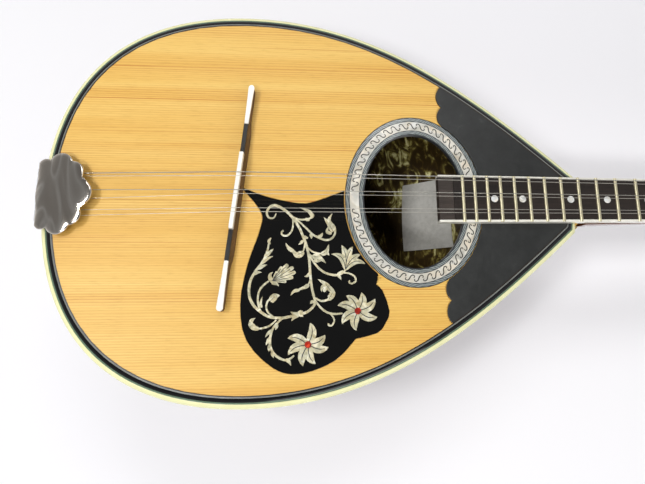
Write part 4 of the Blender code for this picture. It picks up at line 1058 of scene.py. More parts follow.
def to_object_mode():
    bpy.ops.object.mode_set(mode="OBJECT")


def apply_all(obj):
    """Applies an object's modifiers in their order."""
    pick(obj)
    for modifier in list(obj.modifiers):
        bpy.ops.object.modifier_apply(modifier=modifier.name)


def settle(obj, finish, body="instrument_body", replaces=(), place=None, smooth=35.0, turn=True):
    """Turns the faces outwards, shades, puts the mesh in its place and lets the piece ride on its body."""
    if turn:
        in_edit_mode(obj)
        bpy.ops.mesh.normals_make_consistent(inside=False)
        to_object_mode()
    obj.data.transform(INSTRUMENT if place is None else place)
    if smooth:
        pick(obj)
        bpy.ops.object.shade_smooth_by_angle(angle=math.radians(smooth))
    obj.data.materials.clear()
    obj.data.materials.append(FINISH[finish])
    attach(obj, body)
    if replaces:
        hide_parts(*([replaces] if isinstance(replaces, str) else replaces))
    return obj


def new_grid(name, columns, rows):
    deselect_all()
    bpy.ops.mesh.primitive_grid_add(x_subdivisions=columns, y_subdivisions=rows, size=2)
    obj = bpy.context.object
    obj.name = name
    obj.data.name = name
    return obj


def shaped_grid(name, columns, rows, where, close_ends=False):
    """A grid bent into place: where(u, v) gives the point, u over the columns, v over the rows, 0 to 1."""
    obj = new_grid(name, columns, rows)
    for vertex in obj.data.vertices:
        vertex.co = where((vertex.co.x + 1) / 2, (vertex.co.y + 1) / 2)
    in_edit_mode(obj)
    bpy.ops.mesh.remove_doubles(threshold=1e-6)
    if close_ends:
        bpy.ops.mesh.select_all(action="SELECT")
        bpy.ops.mesh.fill_holes(sides=0)
    to_object_mode()
    return obj


def pick_points(points, share):
    """The point of a closed loop of corners at a share of its corner count."""
    spot = share * len(points)
    low = min(int(spot + 1e-9), len(points))
    rest = spot - low
    here = Vector(points[low % len(points)])
    return here if abs(rest) < 1e-6 else here.lerp(Vector(points[(low + 1) % len(points)]), rest)


def lofted(name, sections):
    """A skin through closed sections of equal corner counts."""
    count = len(sections) - 1
    size = len(sections[0])

    def where(u, v):
        row = round(v * count)
        return pick_points(sections[row], round(u * size) / size)

    return shaped_grid(name, size, count, where, close_ends=True)


def hoop(name, section, loop, steps):
    """A closed hoop. section is a list of (grow, z) corners, loop(grow, z, share) a point round the hoop."""
    size = len(section)

    def where(u, v):
        grow, z = section[round(v * size) % size]
        return loop(grow, z, (u * steps % steps) / steps)

    return shaped_grid(name, steps, size, where)


def plate(name, outline, low, high, bevel=0.0, segments=2):
    """A flat plate of an (x, y) outline, extruded between two heights, its top edge rounded by bevel."""
    deselect_all()
    bpy.ops.mesh.primitive_circle_add(vertices=len(outline), radius=1, fill_type="NGON")
    obj = bpy.context.object
    obj.name = name
    obj.data.name = name
    for vertex, (x, y) in zip(obj.data.vertices, outline):
        vertex.co = (x, y, low)
    in_edit_mode(obj)
    bpy.ops.mesh.extrude_region_move(TRANSFORM_OT_translate={"value": (0, 0, high - low)})
    bpy.ops.mesh.select_all(action="SELECT")
    bpy.ops.mesh.normals_make_consistent(inside=False)
    if bevel:
        choose_edges(obj, lambda a, b: min(a.z, b.z) > high - 1e-6)
        bpy.ops.mesh.bevel(offset=bevel, segments=segments, affect="EDGES")
    to_object_mode()
    return obj


def choose_edges(obj, wanted):
    """Selects the edges whose two ends satisfy wanted, in edit mode."""
    bpy.ops.mesh.select_all(action="DESELECT")
    bpy.ops.mesh.select_mode(type="EDGE")
    shape = bmesh.from_edit_mesh(obj.data)
    for edge in shape.edges:
        edge.select_set(wanted(edge.verts[0].co, edge.verts[1].co))
    bmesh.update_edit_mesh(obj.data)


def turned(name, profile, steps=32):
    """A turned piece along Z, from (radius, height) pairs, extruded ring by ring from a disc."""
    deselect_all()
    first, height = profile[0]
    bpy.ops.mesh.primitive_circle_add(
        vertices=steps, radius=first, fill_type="NGON", location=(0, 0, height), enter_editmode=True
    )
    obj = bpy.context.object
    obj.name = name
    obj.data.name = name
    radius = first
    for wider, level in profile[1:]:
        bpy.ops.mesh.extrude_region_move(TRANSFORM_OT_translate={"value": (0, 0, level - height)})
        bpy.ops.transform.resize(value=(wider / radius, wider / radius, 1), center_override=(0, 0, level))
        radius, height = wider, level
    bpy.ops.mesh.select_all(action="SELECT")
    bpy.ops.mesh.normals_make_consistent(inside=False)
    to_object_mode()
    bpy.ops.object.transform_apply(location=True, rotation=True, scale=True)
    return obj


def copied(obj, name, matrix=None):
    """A copy with its own mesh, set to its place."""
    pick(obj)
    bpy.ops.object.duplicate()
    copy = bpy.context.object
    copy.name = name
    copy.data.name = name
    if matrix:
        copy.data.transform(matrix)
    return copy


def joined(objects, name):
    deselect_all()
    for obj in objects:
        obj.select_set(True)
    bpy.context.view_layer.objects.active = objects[0]
    bpy.ops.object.join()
    whole = bpy.context.object
    whole.name = name
    whole.data.name = name
    return whole


def cut_away(obj, tool):
    """A Boolean cut by a tool, which then goes."""
    cut = obj.modifiers.new("cut", "BOOLEAN")
    cut.operation = "DIFFERENCE"
    cut.object = tool
    cut.solver = "EXACT"
    apply_all(obj)
    bpy.data.objects.remove(tool)


def tube(name, path, radius):
    """A round wire along a path, its rings kept from twisting, closed at both ends."""
    sides = 10
    points = [Vector(point) for point in path]
    rings = []
    side = None
    for i, point in enumerate(points):
        along = (points[min(i + 1, len(points) - 1)] - points[max(i - 1, 0)]).normalized()
        if side is None:
            side = along.cross(Vector((0, 1, 0))).normalized()
        side = (side - along * side.dot(along)).normalized()
        up = along.cross(side)
        turns = [2 * math.pi * k / sides for k in range(sides)]
        rings.append([point + (side * math.cos(a) + up * math.sin(a)) * radius for a in turns])
    return lofted(name, rings)


# Bowl


def make_ribs():
    """One rib after another, bass edge to treble edge. The middle ones are set a little further in."""
    for k in range(STAVE_COUNT):
        first = k * RIB_TURN

        def where(u, v, first=first):
            share = BOWL_TAIL_SHARE + (2 - BOWL_TAIL_SHARE) * v
            angle = first + RIB_TURN * u
            return bowl_point(share, angle, RIB_SINK + RIB_SINK_MIDDLE * math.sin(angle) ** 4)

        stave = shaped_grid(f"rib_{k + 1}", 8, RIB_ROWS, where)
        for corner in stave.data.uv_layers[0].data:
            corner.uv = (k + min(max(corner.uv[0], 0.001), 0.999), corner.uv[1] * 4)
        thicken(stave, BOWL_WALL - RIB_SPARE)
        settle(stave, "walnut_rib", replaces=f"bowl_stave_{k + 1}", turn=False)


def make_lining():
    """The pearloid sheet inside the ribs, a facet short of either edge and a station short of either end."""
    start, end = bowl_stations()[1], bowl_stations()[-2]
    edge = RIB_TURN / STAVE_FACETS

    def inner(u, v):
        angle = edge + (math.pi - 2 * edge) * u
        return bowl_point(start + (end - start) * v, angle, BOWL_INSIDE)

    lining = shaped_grid("bowl_pearloid_sheet", 64, RIB_ROWS, inner)
    thicken(lining, INNER_SHEET)
    settle(lining, "pearloid_lining", replaces="bowl_inner_lining", turn=False)


def make_clasp():
    """The dark band round the tail, outside the ribs."""
    thickness = CLASP_THICKNESS - CLASP_SINK

    def clasp(u, v):
        angle = math.radians(1 + 178 * u)
        share = CLASP_START + (CLASP_REACH - CLASP_START) * v
        return bowl_point(share, angle, -GAP - CLASP_THICKNESS + CLASP_SINK)

    band = shaped_grid("tail_clasp_band", 72, 20, clasp)
    thicken(band, thickness)
    settle(band, "clasp", replaces="tail_clasp", turn=False)


def make_label():
    """The paper label on the lining, bent as the bowl is."""
    depth = BOWL_INSIDE + INNER_SHEET + LABEL_GAP

    def paper(u, v):
        x = LABEL_X + LABEL_LENGTH * (v - 0.5)
        y = LABEL_Y + LABEL_WIDTH * (0.5 - u)
        return bowl_point(share_at(x, GAP), math.acos(y / (half_width_at(x, GAP) - depth)), depth)

    label = shaped_grid("bare_paper_label", 14, 10, paper)
    thicken(label, LABEL_THICKNESS)
    settle(label, "label", replaces="label", turn=False)


def thicken(obj, thickness):
    """Gives a sheet its wall on the inner side, once its faces look away from the bowl's middle."""
    middle = Vector((0.03, 0, -0.03))
    mesh = obj.data
    facing = sum((face.center - middle).dot(face.normal) for face in mesh.polygons)
    if facing < 0:
        in_edit_mode(obj)
        bpy.ops.mesh.flip_normals()
        to_object_mode()
    wall = obj.modifiers.new("wall", "SOLIDIFY")
    wall.thickness = thickness
    wall.offset = -1
    apply_all(obj)


# Rim


# Where the half outline ends at the neck, for each inset
RIM_LASTS = {}


def rim_hoop(name, section, finish, replaces=()):
    """A ring round the whole rim. section lists its (inset, z) corners."""
    for inset, _ in section:
        RIM_LASTS.setdefault(inset, share_at(NECK_X - inset, inset))

    def loop(inset, z, share):
        half = 1 - abs(1 - 2 * share)
        point = rim_point(RIM_LASTS[inset] * half, inset)
        return Vector((point.x, point.y if share <= 0.5 else -point.y, z))

    ring = hoop(name, section, loop, 180)
    return settle(ring, finish, replaces=replaces)


def band_height(inset):
    """The rim band's top, which falls away outwards ever more steeply."""
    share = min(max((RIM_WIDTH - inset) / (RIM_WIDTH - BINDING_WIDTH - GAP), 0), 1)
    return -RIM_FALL * (0.45 * share + 0.55 * share**2)


def make_rim():
    """The cream binding, and inwards from it a green line, the black band, a grey line, a dark line."""
    cream = [(BINDING_WIDTH, -RIM_FALL), (0.0030, -RIM_FALL - 0.00012), (0.0020, -RIM_FALL - 0.0006)]
    cream += [(0.0010, -RIM_FALL - 0.0016), (0.0004, -RIM_FALL - 0.0028), (0.0, -RIM_FALL - 0.0042)]
    cream += [(0.0, BINDING_BOTTOM), (BINDING_WIDTH, BINDING_BOTTOM)]
    rim_hoop("cream_edge_binding", cream, "cream", "edge_binding")
    inlays = (
        ("rim_black_band", 0.00500, 0.00775, "rim_black", 0.00008),
        ("rim_green_line", 0.00390, 0.00500, "rim_green", 0.0),
        ("rim_grey_line", 0.00775, 0.00870, "rim_grey", 0.0),
        ("rim_dark_line", 0.00870, 0.00945, "rim_dark", 0.00004),
    )
    for name, outer, inner, finish, crown in inlays:
        steps = 5
        top = []
        for i, inset in enumerate(spread(outer, inner, steps)):
            top.append((inset, band_height(inset) + crown * math.sin(math.pi * i / steps)))
        if finish == "rim_dark":
            section = [(inset, 0.00005) for inset in (outer, inner)] + [(inner, 0.00001), (outer, -0.0005)]
        else:
            section = top + [(inner, -0.0013), (outer, min(-0.0021, band_height(outer) - 0.0005))]
        replaces = "rim_band" if name == "rim_black_band" else ()
        rim_hoop(name, section, finish, replaces)


# Rosette and plates


def rosette_ring(name, outer, inner, finish, replaces=(), high=0.0, lip=0.0):
    """A flat elliptical ring in the soundboard's pocket, between two distances in from the rosette's edge.
    With a lip it also hangs down inside the hole, over the cut edge of the wood.
    """
    edge = 0.0001
    section = [(-outer, -INLAY_THICKNESS), (-outer, high - edge), (-outer - edge, high)]
    section += [(-inner + edge, high), (-inner, high - edge), (-inner, -INLAY_THICKNESS)]
    if lip:
        section[-2:] = [(-inner - lip, high - edge), (-inner - lip, -SOUNDBOARD_THICKNESS)]
        section += [(-inner - lip / 3, -SOUNDBOARD_THICKNESS), (-inner - lip / 3, -INLAY_THICKNESS)]
        section[3] = (-inner - lip + edge, high)

    def loop(grow, z, share):
        angle = 2 * math.pi * share + math.pi
        x = ROSETTE_X + (ROSETTE_HALF_LENGTH + grow) * math.cos(angle)
        return Vector((x, (ROSETTE_HALF_WIDTH + grow) * math.sin(angle), z))

    return settle(hoop(name, section, loop, 144), finish, replaces=replaces)


def ring_place(along, grow):
    """A point on the rosette at a length round it from its left end, grown from the outer edge."""
    angle = math.pi + RING_ANGLES(along / RING_TURN)
    length = ROSETTE_HALF_LENGTH + grow
    width = ROSETTE_HALF_WIDTH + grow
    return Vector((ROSETTE_X + length * math.cos(angle), width * math.sin(angle)))


def even_angles(length, width, steps=720):
    """Turns a share of an ellipse's girth, from its left end, into an angle past that end."""
    sums = [0.0]
    last = Vector((-length, 0))
    for i in range(1, steps + 1):
        angle = math.pi + 2 * math.pi * i / steps
        here = Vector((length * math.cos(angle), width * math.sin(angle)))
        sums.append(sums[-1] + (here - last).length)
        last = here

    def angle_at(share):
        goal = (share % 1.0) * sums[-1] if share != 1.0 else sums[-1]
        low = bisect.bisect_right(sums, goal) - 1
        low = min(low, steps - 1)
        rest = (goal - sums[low]) / (sums[low + 1] - sums[low])
        return 2 * math.pi * (low + rest) / steps

    return angle_at, sums[-1]


# How far in from the rosette's edge the wave runs, and the measure of its way round
RING_MIDDLE = 0.00665
RING_ANGLES, RING_TURN = even_angles(ROSETTE_HALF_LENGTH - RING_MIDDLE, ROSETTE_HALF_WIDTH - RING_MIDDLE)


def strip_points(path, width, first=1.0, last=1.0, steps=6, tip="plain"):
    """Left and right edges of a flat ribbon along a smooth (x, y) line. first and last are the ends' widths.
    One with a point swells before its middle and runs out thin, one with a lobe is widest just before its
    rounded end.
    """
    line = [Vector(p) for p in smooth_line(path, steps)]
    count = len(line) - 1
    left, right = [], []
    for i, point in enumerate(line):
        share = i / count
        along = (line[min(i + 1, count)] - line[max(i - 1, 0)]).normalized()
        normal = Vector((-along.y, along.x))
        if tip == "point":
            half = first * (1 - share) + (1 - first * 0.5) * math.sin(math.pi * share**0.75) ** 1.1
        elif tip == "lobe":
            half = (first + (1 - first) * share) * math.sqrt(1 - share**6)
        else:
            ends = first + (last - first) * share
            half = ends + (1 - ends) * math.sin(math.pi * share) ** 0.7
        left.append(point + normal * half * width / 2)
        right.append(point - normal * half * width / 2)
    return left, right


def inlaid(name, strips, z, finish, lift=0.00006):
    """Flat ribbons let into a surface, each a grid primitive drawn along its line, all one piece."""
    obj = None
    for left, right in strips:
        count = len(left) - 1
        if obj is None:
            obj = new_grid(name, count, 2)
            in_edit_mode(obj)
        else:
            bpy.ops.mesh.select_all(action="DESELECT")
            bpy.ops.mesh.primitive_grid_add(x_subdivisions=count, y_subdivisions=2, size=2)
        shape = bmesh.from_edit_mesh(obj.data)
        for vertex in shape.verts:
            if vertex.select:
                i = round((vertex.co.x + 1) / 2 * count)
                across = (vertex.co.y + 1) / 2
                point = right[i].lerp(left[i], across)
                vertex.co = (point.x, point.y, z + lift * (1 - abs(2 * across - 1)))
        bmesh.update_edit_mesh(obj.data)
    to_object_mode()
    return settle(obj, finish, smooth=60, turn=False)


def wave_strips():
    """The running wave: one curl after another, mirrored on either side of a blank at the left end.
    curl lists (along, across) in millimetres, for a wave that is drawn_span millimetres long.
    """
    drawn_span = 6.4
    curl = (
        (-2.2, -0.5), (-2.8, -1.0), (-2.6, -1.8), (-1.5, -2.1), (-0.3, -1.4), (0.4, 0.1),
        (1.2, 1.5), (2.4, 2.1), (3.5, 1.7), (3.7, 0.8), (3.0, 0.4),
    )
    blank = 0.0065
    count = 48
    span = (RING_TURN - 2 * blank) / count
    strips = []
    for k in range(count):
        turn = 1 if k < count / 2 else -1
        middle = blank + span * (k + 0.5)
        path = []
        for along, across in curl:
            place = middle + turn * along * span / drawn_span
            path.append(tuple(ring_place(place, -RING_MIDDLE - across / 1000)))
        strips.append(strip_points(path, 0.00085, 0.6, 0.6, 3))
    return strips


def make_rosette():
    """The rings from the outside in, and the running wave on the silver one."""
    lift = RING_LINE_LIFT
    rosette_ring("rosette_outer_line", 0.0, 0.0004, "ring_line", "rosette", lift)
    rosette_ring("rosette_outer_stripes", 0.0004, 0.0029, "ring_outer")
    rosette_ring("rosette_second_line", 0.0029, 0.0033, "ring_line", high=lift)
    rosette_ring("rosette_silver_band", 0.0033, 0.0100, "ring_silver")
    rosette_ring("rosette_third_line", 0.0100, 0.0104, "ring_line", high=lift)
    rosette_ring("rosette_inner_stripes", 0.0104, 0.0128, "ring_inner")
    rosette_ring("rosette_inner_line", 0.0128, 0.0133, "ring_line", high=lift, lip=0.0005)
    inlaid("rosette_running_wave", wave_strips(), 0.00002, "wave")


def make_guard():
    """The black plate: its top edge, the side along the rosette, the lobe and the belly."""
    outline = []
    rosette_side = rosette_arc(GUARD_FROM_ROSETTE, GUARD_SIDE_START, GUARD_SIDE_END, 24)
    outline += smooth_line(GUARD_TOP + (rosette_side[0],), 8)[:-1]
    outline += rosette_side[:-1]
    outline += smooth_line(GUARD_LOBE, 6)[:-1]
    outline += smooth_line(GUARD_BELLY, 8)[:-1]
    guard = plate("black_pickguard", outline, -INLAY_THICKNESS, 0.0, 0.0002)
    settle(guard, "guard", replaces="pickguard", smooth=12)


def millimetres(points):
    return [(x / 1000, y / 1000) for x, y in points]


# The scroll on the guard, in millimetres. Vines: width, the shares of it that the two ends keep, and line
VINES = (
    (1.9, 0.3, 0.9, ((14.5, -10.6), (12.7, -13.8), (9.3, -13.6), (7.9, -9.7), (10.2, -5.8),
        (14.0, -4.7), (19.3, -7.2), (24.5, -11.7), (29.7, -18.8), (33.7, -27.5), (36.4, -35.6),
        (37.8, -44.2), (38.5, -55.5), (39.5, -63.9), (41.4, -71.8))),
    (1.9, 0.9, 0.3, ((41.4, -71.8), (40.9, -75.5), (36.0, -80.1), (30.0, -81.6), (24.5, -83.0),
        (18.1, -84.0), (9.8, -83.0), (3.0, -78.8), (-1.6, -73.8), (-3.8, -67.4), (-3.2, -59.1),
        (-0.1, -52.6), (4.0, -47.0), (7.2, -41.4), (8.9, -35.7), (9.5, -31.9), (11.0, -28.2))),
    (1.4, 0.4, 0.8, ((5.7, -81.1), (2.9, -76.1), (2.2, -70.2), (3.5, -64.7), (6.5, -61.0), (9.7, -58.7))),
    (1.3, 0.4, 1.0, ((13.5, -83.5), (9.4, -80.3), (8.0, -76.2), (9.3, -72.1), (12.5, -70.7))),
    (1.5, 0.9, 0.7, ((41.4, -71.8), (44.8, -76.5), (49.4, -80.2), (54.9, -81.6), (60.5, -81.2))),
    (1.2, 0.6, 1.0, ((50.8, -80.6), (53.5, -83.0), (54.7, -86.2), (53.1, -89.3), (50.9, -89.3),
        (50.7, -87.9))),
    (1.5, 0.6, 0.9, ((41.6, -70.4), (45.8, -72.6), (50.0, -71.9), (51.9, -70.0))),
    (1.6, 0.7, 0.8, ((36.7, -38.5), (40.4, -44.7), (45.1, -50.4), (50.7, -53.7), (57.3, -54.7),
        (61.5, -52.8), (63.2, -50.7))),
    (1.3, 0.7, 0.6, ((61.5, -53.0), (65.8, -53.5), (69.5, -55.6), (70.2, -58.9), (67.7, -60.5),
        (65.7, -59.9), (66.0, -58.3))),
    (1.5, 0.6, 0.9, ((26.4, -13.5), (31.1, -16.8), (36.3, -21.7), (40.1, -25.5), (44.4, -27.9),
        (49.6, -29.7), (53.9, -28.4), (56.3, -24.5), (55.9, -20.1), (53.9, -17.7))),
    (1.3, 0.6, 0.7, ((25.4, -12.5), (30.2, -14.7), (34.9, -14.9), (38.8, -13.7), (40.2, -11.6))),
    (1.3, 0.6, 1.0, ((26.2, -14.4), (26.4, -19.3), (25.2, -23.7), (22.1, -26.6), (19.0, -26.1),
        (18.4, -24.0), (19.8, -23.0))),
    (1.2, 0.7, 0.6, ((34.9, -29.9), (34.5, -34.7), (33.4, -38.0))),
    (1.3, 0.6, 0.8, ((36.3, -34.7), (39.5, -37.6), (43.8, -39.2), (47.6, -39.5))),
    (1.0, 0.6, 0.6, ((37.6, -39.5), (40.0, -41.4), (42.3, -42.8))),
    (1.1, 0.7, 0.8, ((38.4, -57.4), (37.0, -61.1), (33.7, -63.7), (29.6, -65.0))),
    (1.3, 0.7, 0.7, ((14.9, -85.3), (10.8, -88.9), (6.3, -90.6), (1.8, -91.2))),
    (1.7, 0.7, 0.6, ((19.0, -84.4), (14.9, -88.0), (12.2, -92.0), (10.8, -97.4), (10.9, -102.7),
        (13.2, -107.6), (17.2, -110.8), (21.7, -112.2), (25.5, -110.5), (27.0, -109.2))),
)
# Leaves: width, and line from the stem to the point
LEAVES = (
    (2.6, ((6.6, -41.8), (9.5, -39.0), (12.8, -35.9))),
    (2.2, ((4.5, -46.5), (8.2, -43.2), (12.5, -41.2))),
    (2.4, ((1.8, -50.3), (5.0, -48.4), (8.5, -47.2))),
    (2.0, ((-0.5, -54.0), (1.8, -52.6), (4.8, -52.6))),
    (1.6, ((10.4, -32.8), (9.3, -30.4), (11.0, -28.0))),
    (2.8, ((13.4, -60.2), (10.9, -57.4), (10.5, -54.2), (12.5, -52.3))),
    (2.4, ((11.6, -60.0), (14.6, -60.3), (16.6, -62.2))),
    (2.0, ((4.8, -77.0), (4.1, -73.9), (5.4, -69.1))),
    (4.6, ((10.7, -72.5), (13.9, -69.3), (17.3, -68.6))),
    (2.0, ((12.3, -71.2), (12.7, -72.5), (12.3, -73.7))),
    (2.4, ((30.9, -81.4), (27.2, -81.2), (24.5, -79.7))),
    (2.4, ((30.9, -81.8), (27.2, -83.6), (25.2, -86.3))),
    (2.2, ((29.5, -81.4), (31.4, -80.0), (33.2, -79.4))),
    (2.0, ((30.0, -81.8), (31.8, -82.3), (33.5, -83.2))),
    (2.2, ((40.6, -72.7), (39.3, -73.4), (38.1, -74.6))),
    (2.2, ((14.9, -87.6), (15.2, -89.8), (14.3, -92.1))),
    (2.0, ((11.9, -92.0), (9.5, -94.2), (7.4, -96.9))),
    (2.2, ((11.0, -96.9), (9.2, -99.6), (8.0, -102.3))),
    (2.2, ((10.9, -101.8), (10.2, -104.3), (10.0, -106.4))),
    (2.2, ((12.5, -106.3), (12.5, -108.5), (13.3, -110.6))),
    (2.4, ((21.3, -111.7), (23.5, -113.1), (25.0, -116.0))),
    (3.0, ((3.1, -91.2), (-1.4, -90.1), (-4.2, -87.8))),
    (2.6, ((-2.8, -89.6), (-1.9, -85.6), (0.8, -83.8))),
    (2.0, ((1.8, -91.2), (-1.0, -88.3), (-1.9, -86.5))),
    (4.0, ((51.4, -71.4), (53.8, -66.8), (51.0, -61.0))),
    (3.4, ((52.9, -65.9), (49.2, -61.2), (43.6, -57.4))),
    (2.6, ((49.6, -62.1), (46.8, -63.0), (46.0, -66.3))),
    (2.4, ((50.9, -68.7), (52.3, -71.0), (50.6, -72.5))),
    (2.2, ((47.7, -66.3), (48.8, -64.5), (51.0, -64.0))),
    (2.4, ((35.0, -14.4), (37.3, -15.2), (36.7, -15.8))),
    (2.6, ((39.9, -12.4), (37.9, -9.0), (31.2, -6.1))),
    (2.2, ((38.8, -13.9), (40.5, -11.6), (37.8, -9.5))),
    (3.4, ((54.9, -23.6), (52.6, -19.2), (48.2, -12.8))),
    (2.6, ((54.5, -19.2), (52.0, -15.3), (54.6, -10.1))),
    (2.4, ((53.9, -25.0), (50.6, -23.6), (51.6, -19.7))),
    (2.2, ((43.4, -27.9), (46.3, -26.5), (47.5, -24.3))),
    (2.0, ((38.7, -25.1), (39.4, -27.0), (39.4, -28.9))),
    (2.0, ((34.1, -27.0), (35.8, -28.0), (37.2, -28.2))),
    (2.0, ((33.4, -29.9), (32.0, -31.8), (30.1, -33.0))),
    (4.2, ((33.7, -38.5), (29.2, -40.4), (25.4, -36.1))),
    (2.6, ((27.3, -38.0), (23.5, -35.7), (21.2, -31.6))),
    (2.0, ((33.7, -38.0), (32.5, -40.4), (29.2, -40.6))),
    (3.2, ((46.1, -39.9), (49.9, -38.0), (51.7, -32.6))),
    (2.4, ((47.1, -39.0), (50.4, -39.0), (51.8, -40.9))),
    (3.8, ((40.0, -41.6), (44.2, -41.8), (49.6, -46.3))),
    (2.2, ((41.4, -43.3), (43.2, -44.7), (47.0, -44.2))),
    (2.0, ((38.3, -52.7), (36.4, -55.1), (34.3, -55.5))),
    (2.6, ((37.5, -61.1), (34.7, -63.0), (30.0, -64.1))),
    (2.2, ((31.0, -65.0), (27.2, -65.7), (24.6, -68.7))),
    (1.8, ((57.3, -54.5), (59.1, -56.1), (60.0, -58.2))),
    (1.8, ((57.3, -54.2), (59.7, -52.8), (61.6, -51.1))),
)
# The bud: where its lobes start, and the tip and width of each
BUD_BASE = (12.0, -58.6)
BUD_LOBES = (
    ((15.6, -52.0), 3.2),
    ((19.0, -48.6), 3.6),
    ((22.9, -46.9), 3.8),
    ((26.6, -48.9), 3.8),
    ((28.2, -52.3), 3.6),
    ((26.6, -56.0), 3.4),
    ((21.8, -58.9), 3.2),
)
# The lily: where its petals start, and the tip, bow and width of each
LILY_BASE = (63.2, -50.7)
LILY_PETALS = (
    ((54.4, -39.0), -0.20, 4.4),
    ((61.4, -33.4), -0.08, 5.2),
    ((68.4, -34.2), 0.06, 5.2),
    ((73.6, -39.6), 0.10, 5.0),
    ((77.0, -45.6), 0.20, 4.4),
)
# The open flowers: the middle, and the tips of the petals
FLOWERS = (
    ((36.5, -102.2), ((38.7, -87.6), (48.5, -96.3), (50.3, -104.6), (40.9, -115.1), (32.4, -116.0),
        (22.6, -108.2), (23.0, -97.1))),
    ((71.3, -79.7), ((74.7, -67.1), (83.9, -71.9), (84.6, -84.6), (69.3, -92.9), (59.8, -87.8),
        (57.5, -75.2), (63.8, -68.7))),
)
# Their petals and the stones in their middles, in metres
PETAL_WIDTH = 0.0058
STONE_RADIUS = 0.0025


def petal_path(base, tip, bow):
    """From base to tip, its middle bowed to one side and its point turned back, in metres."""
    start = Vector(base) / 1000
    end = Vector(tip) / 1000
    side = Vector((start.y - end.y, end.x - start.x)) * bow
    shares = ((0.0, 0.0), (0.3, 0.8), (0.6, 1.0), (0.85, 0.35), (1.0, -0.45))
    return [tuple(start.lerp(end, share) + side * lean) for share, lean in shares]


def make_inlay():
    """Pearl scrollwork let into the guard: vines, leaves, a bud, a lily and two open flowers."""
    strips = []
    veins = []
    for width, first, last, path in VINES:
        strips.append(strip_points(millimetres(path), width / 1000, first, last))
    for width, path in LEAVES:
        strips.append(strip_points(millimetres(path), width / 1000, 0.45, tip="point"))
        if width > 3:
            veins.append(strip_points(millimetres(path[:-1]), 0.0003, 0.8, 0.2))
    for tip, width in BUD_LOBES:
        path = petal_path(BUD_BASE, tip, 0.0)
        strips.append(strip_points(path, width / 1000, 0.3, tip="lobe"))
        veins.append(strip_points(path[:-1], 0.0004, 0.4, 1.0))
    for tip, bow, width in LILY_PETALS:
        path = petal_path(LILY_BASE, tip, bow)
        strips.append(strip_points(path, width / 1000, 0.3, tip="point"))
        veins.append(strip_points(path[:-1], 0.0005, 0.7, 0.2))
    for centre, tips in FLOWERS:
        for tip in tips:
            path = petal_path(Vector(centre).lerp(Vector(tip), 0.05), tip, -0.12)
            strips.append(strip_points(path, PETAL_WIDTH, 0.3, tip="point"))
            veins.append(strip_points(path[:-1], 0.00065, 0.9, 0.1))
    inlaid("pearl_scroll_inlay", strips, 0.00003, "inlay")
    inlaid("inlay_engraved_veins", veins, 0.00010, "engraving")


def make_stones():
    """A cut stone in the middle of each open flower."""
    stones = []
    cut = ((1.0, 0.0), (1.0, 0.0003), (0.72, 0.0010), (0.45, 0.0011))
    for centre, _ in FLOWERS:
        profile = [(STONE_RADIUS * share, height) for share, height in cut]
        stone = turned(f"stone_{len(stones)}", profile, 9)
        stone.data.transform(Matrix.Translation((centre[0] / 1000, centre[1] / 1000, 0.00004)))
        stones.append(stone)
    settle(joined(stones, "red_stones"), "stone", smooth=0)


def make_corner_plates():
    """The two grey plates beside the board, scalloped on their bridge side."""
    grow = GAP + ROSETTE_CHORD
    inset = RIM_WIDTH + GAP
    last = math.acos((CORNER_EDGE_X - ROSETTE_X) / (ROSETTE_HALF_LENGTH + grow))
    cusps = ((ROSETTE_HALF_WIDTH + grow) * math.sin(last),) + SCALLOP_CUSPS
    outline = []
    for low, high in zip(cusps, cusps[1:]):
        outline += arc((CORNER_EDGE_X, low), (CORNER_EDGE_X, high), SCALLOP_BULGE, 14)
    start = share_at(CORNER_EDGE_X, inset)
    end = share_at(NECK_X - inset, inset)
    outline += [tuple(rim_point(share, inset)) for share in spread(start, end, 24)]
    outline.append((NECK_X - inset, CORNER_MIDDLE))
    first = math.asin(CORNER_MIDDLE / (ROSETTE_HALF_WIDTH + grow))
    outline += rosette_arc(grow, first, last, 24)[:-1]
    for name, side in (("bass", outline), ("treble", mirrored(outline))):
        corner = plate(f"grey_corner_plate_{name}", side, -INLAY_THICKNESS, CORNER_LIFT, 0.0002)
        settle(corner, "corner", replaces=f"corner_plate_{name}", smooth=12)


# Bridge


BRIDGE_PLACE = Matrix.Translation((BRIDGE_X, BRIDGE_Y, 0)) @ Matrix.Rotation(-BRIDGE_SLANT, 4, "Z")


def bar(name, start, end, low, high, section, ends, finish, replaces=(), rows=48):
    """A bar along the bridge from its bass end. section(length) gives the (x, share of height) corners
    there, and ends the two lengths over which its ends close in a half round.
    """
    sections = []
    for i in range(rows + 1):
        eased = (1 - math.cos(math.pi * i / rows)) / 2
        length = start + (end - start) * eased
        near = min((length - start) / ends[0], (end - length) / ends[1])
        thin = 1.0 if near >= 1 else max(0.04, math.sqrt(1 - (1 - near) ** 2))
        y = BRIDGE_LENGTH / 2 - length
        sections.append([(x * thin, y, low + (high - low) * share) for x, share in section(length)])
    place = INSTRUMENT @ BRIDGE_PLACE
    return settle(lofted(name, sections), finish, replaces=replaces, place=place, smooth=40)


def between(length, low, high, ease=0.012):
    """1 between two lengths and 0 outside them, with a soft step at either."""

    def step(distance):
        share = min(max(distance / ease + 0.5, 0), 1)
        return share * share * (3 - 2 * share)

    return step(length - low) * step(high - length)


def base_section(length):
    """The base: thick under the saddle, its foot reaching out on the neck's side, and slim at the tips."""
    thick = between(length, BASS_TIP_END, TREBLE_TIP_START)
    near = 0.0019 + 0.0004 * thick
    far = 0.0024 + 0.0012 * thick
    return [
        (-near, 0.0), (far, 0.0), (far, 0.12), (0.0018, 0.93),
        (0.0016, 1.0), (-0.0016, 1.0), (-0.0018, 0.93), (-near, 0.12),
    ]


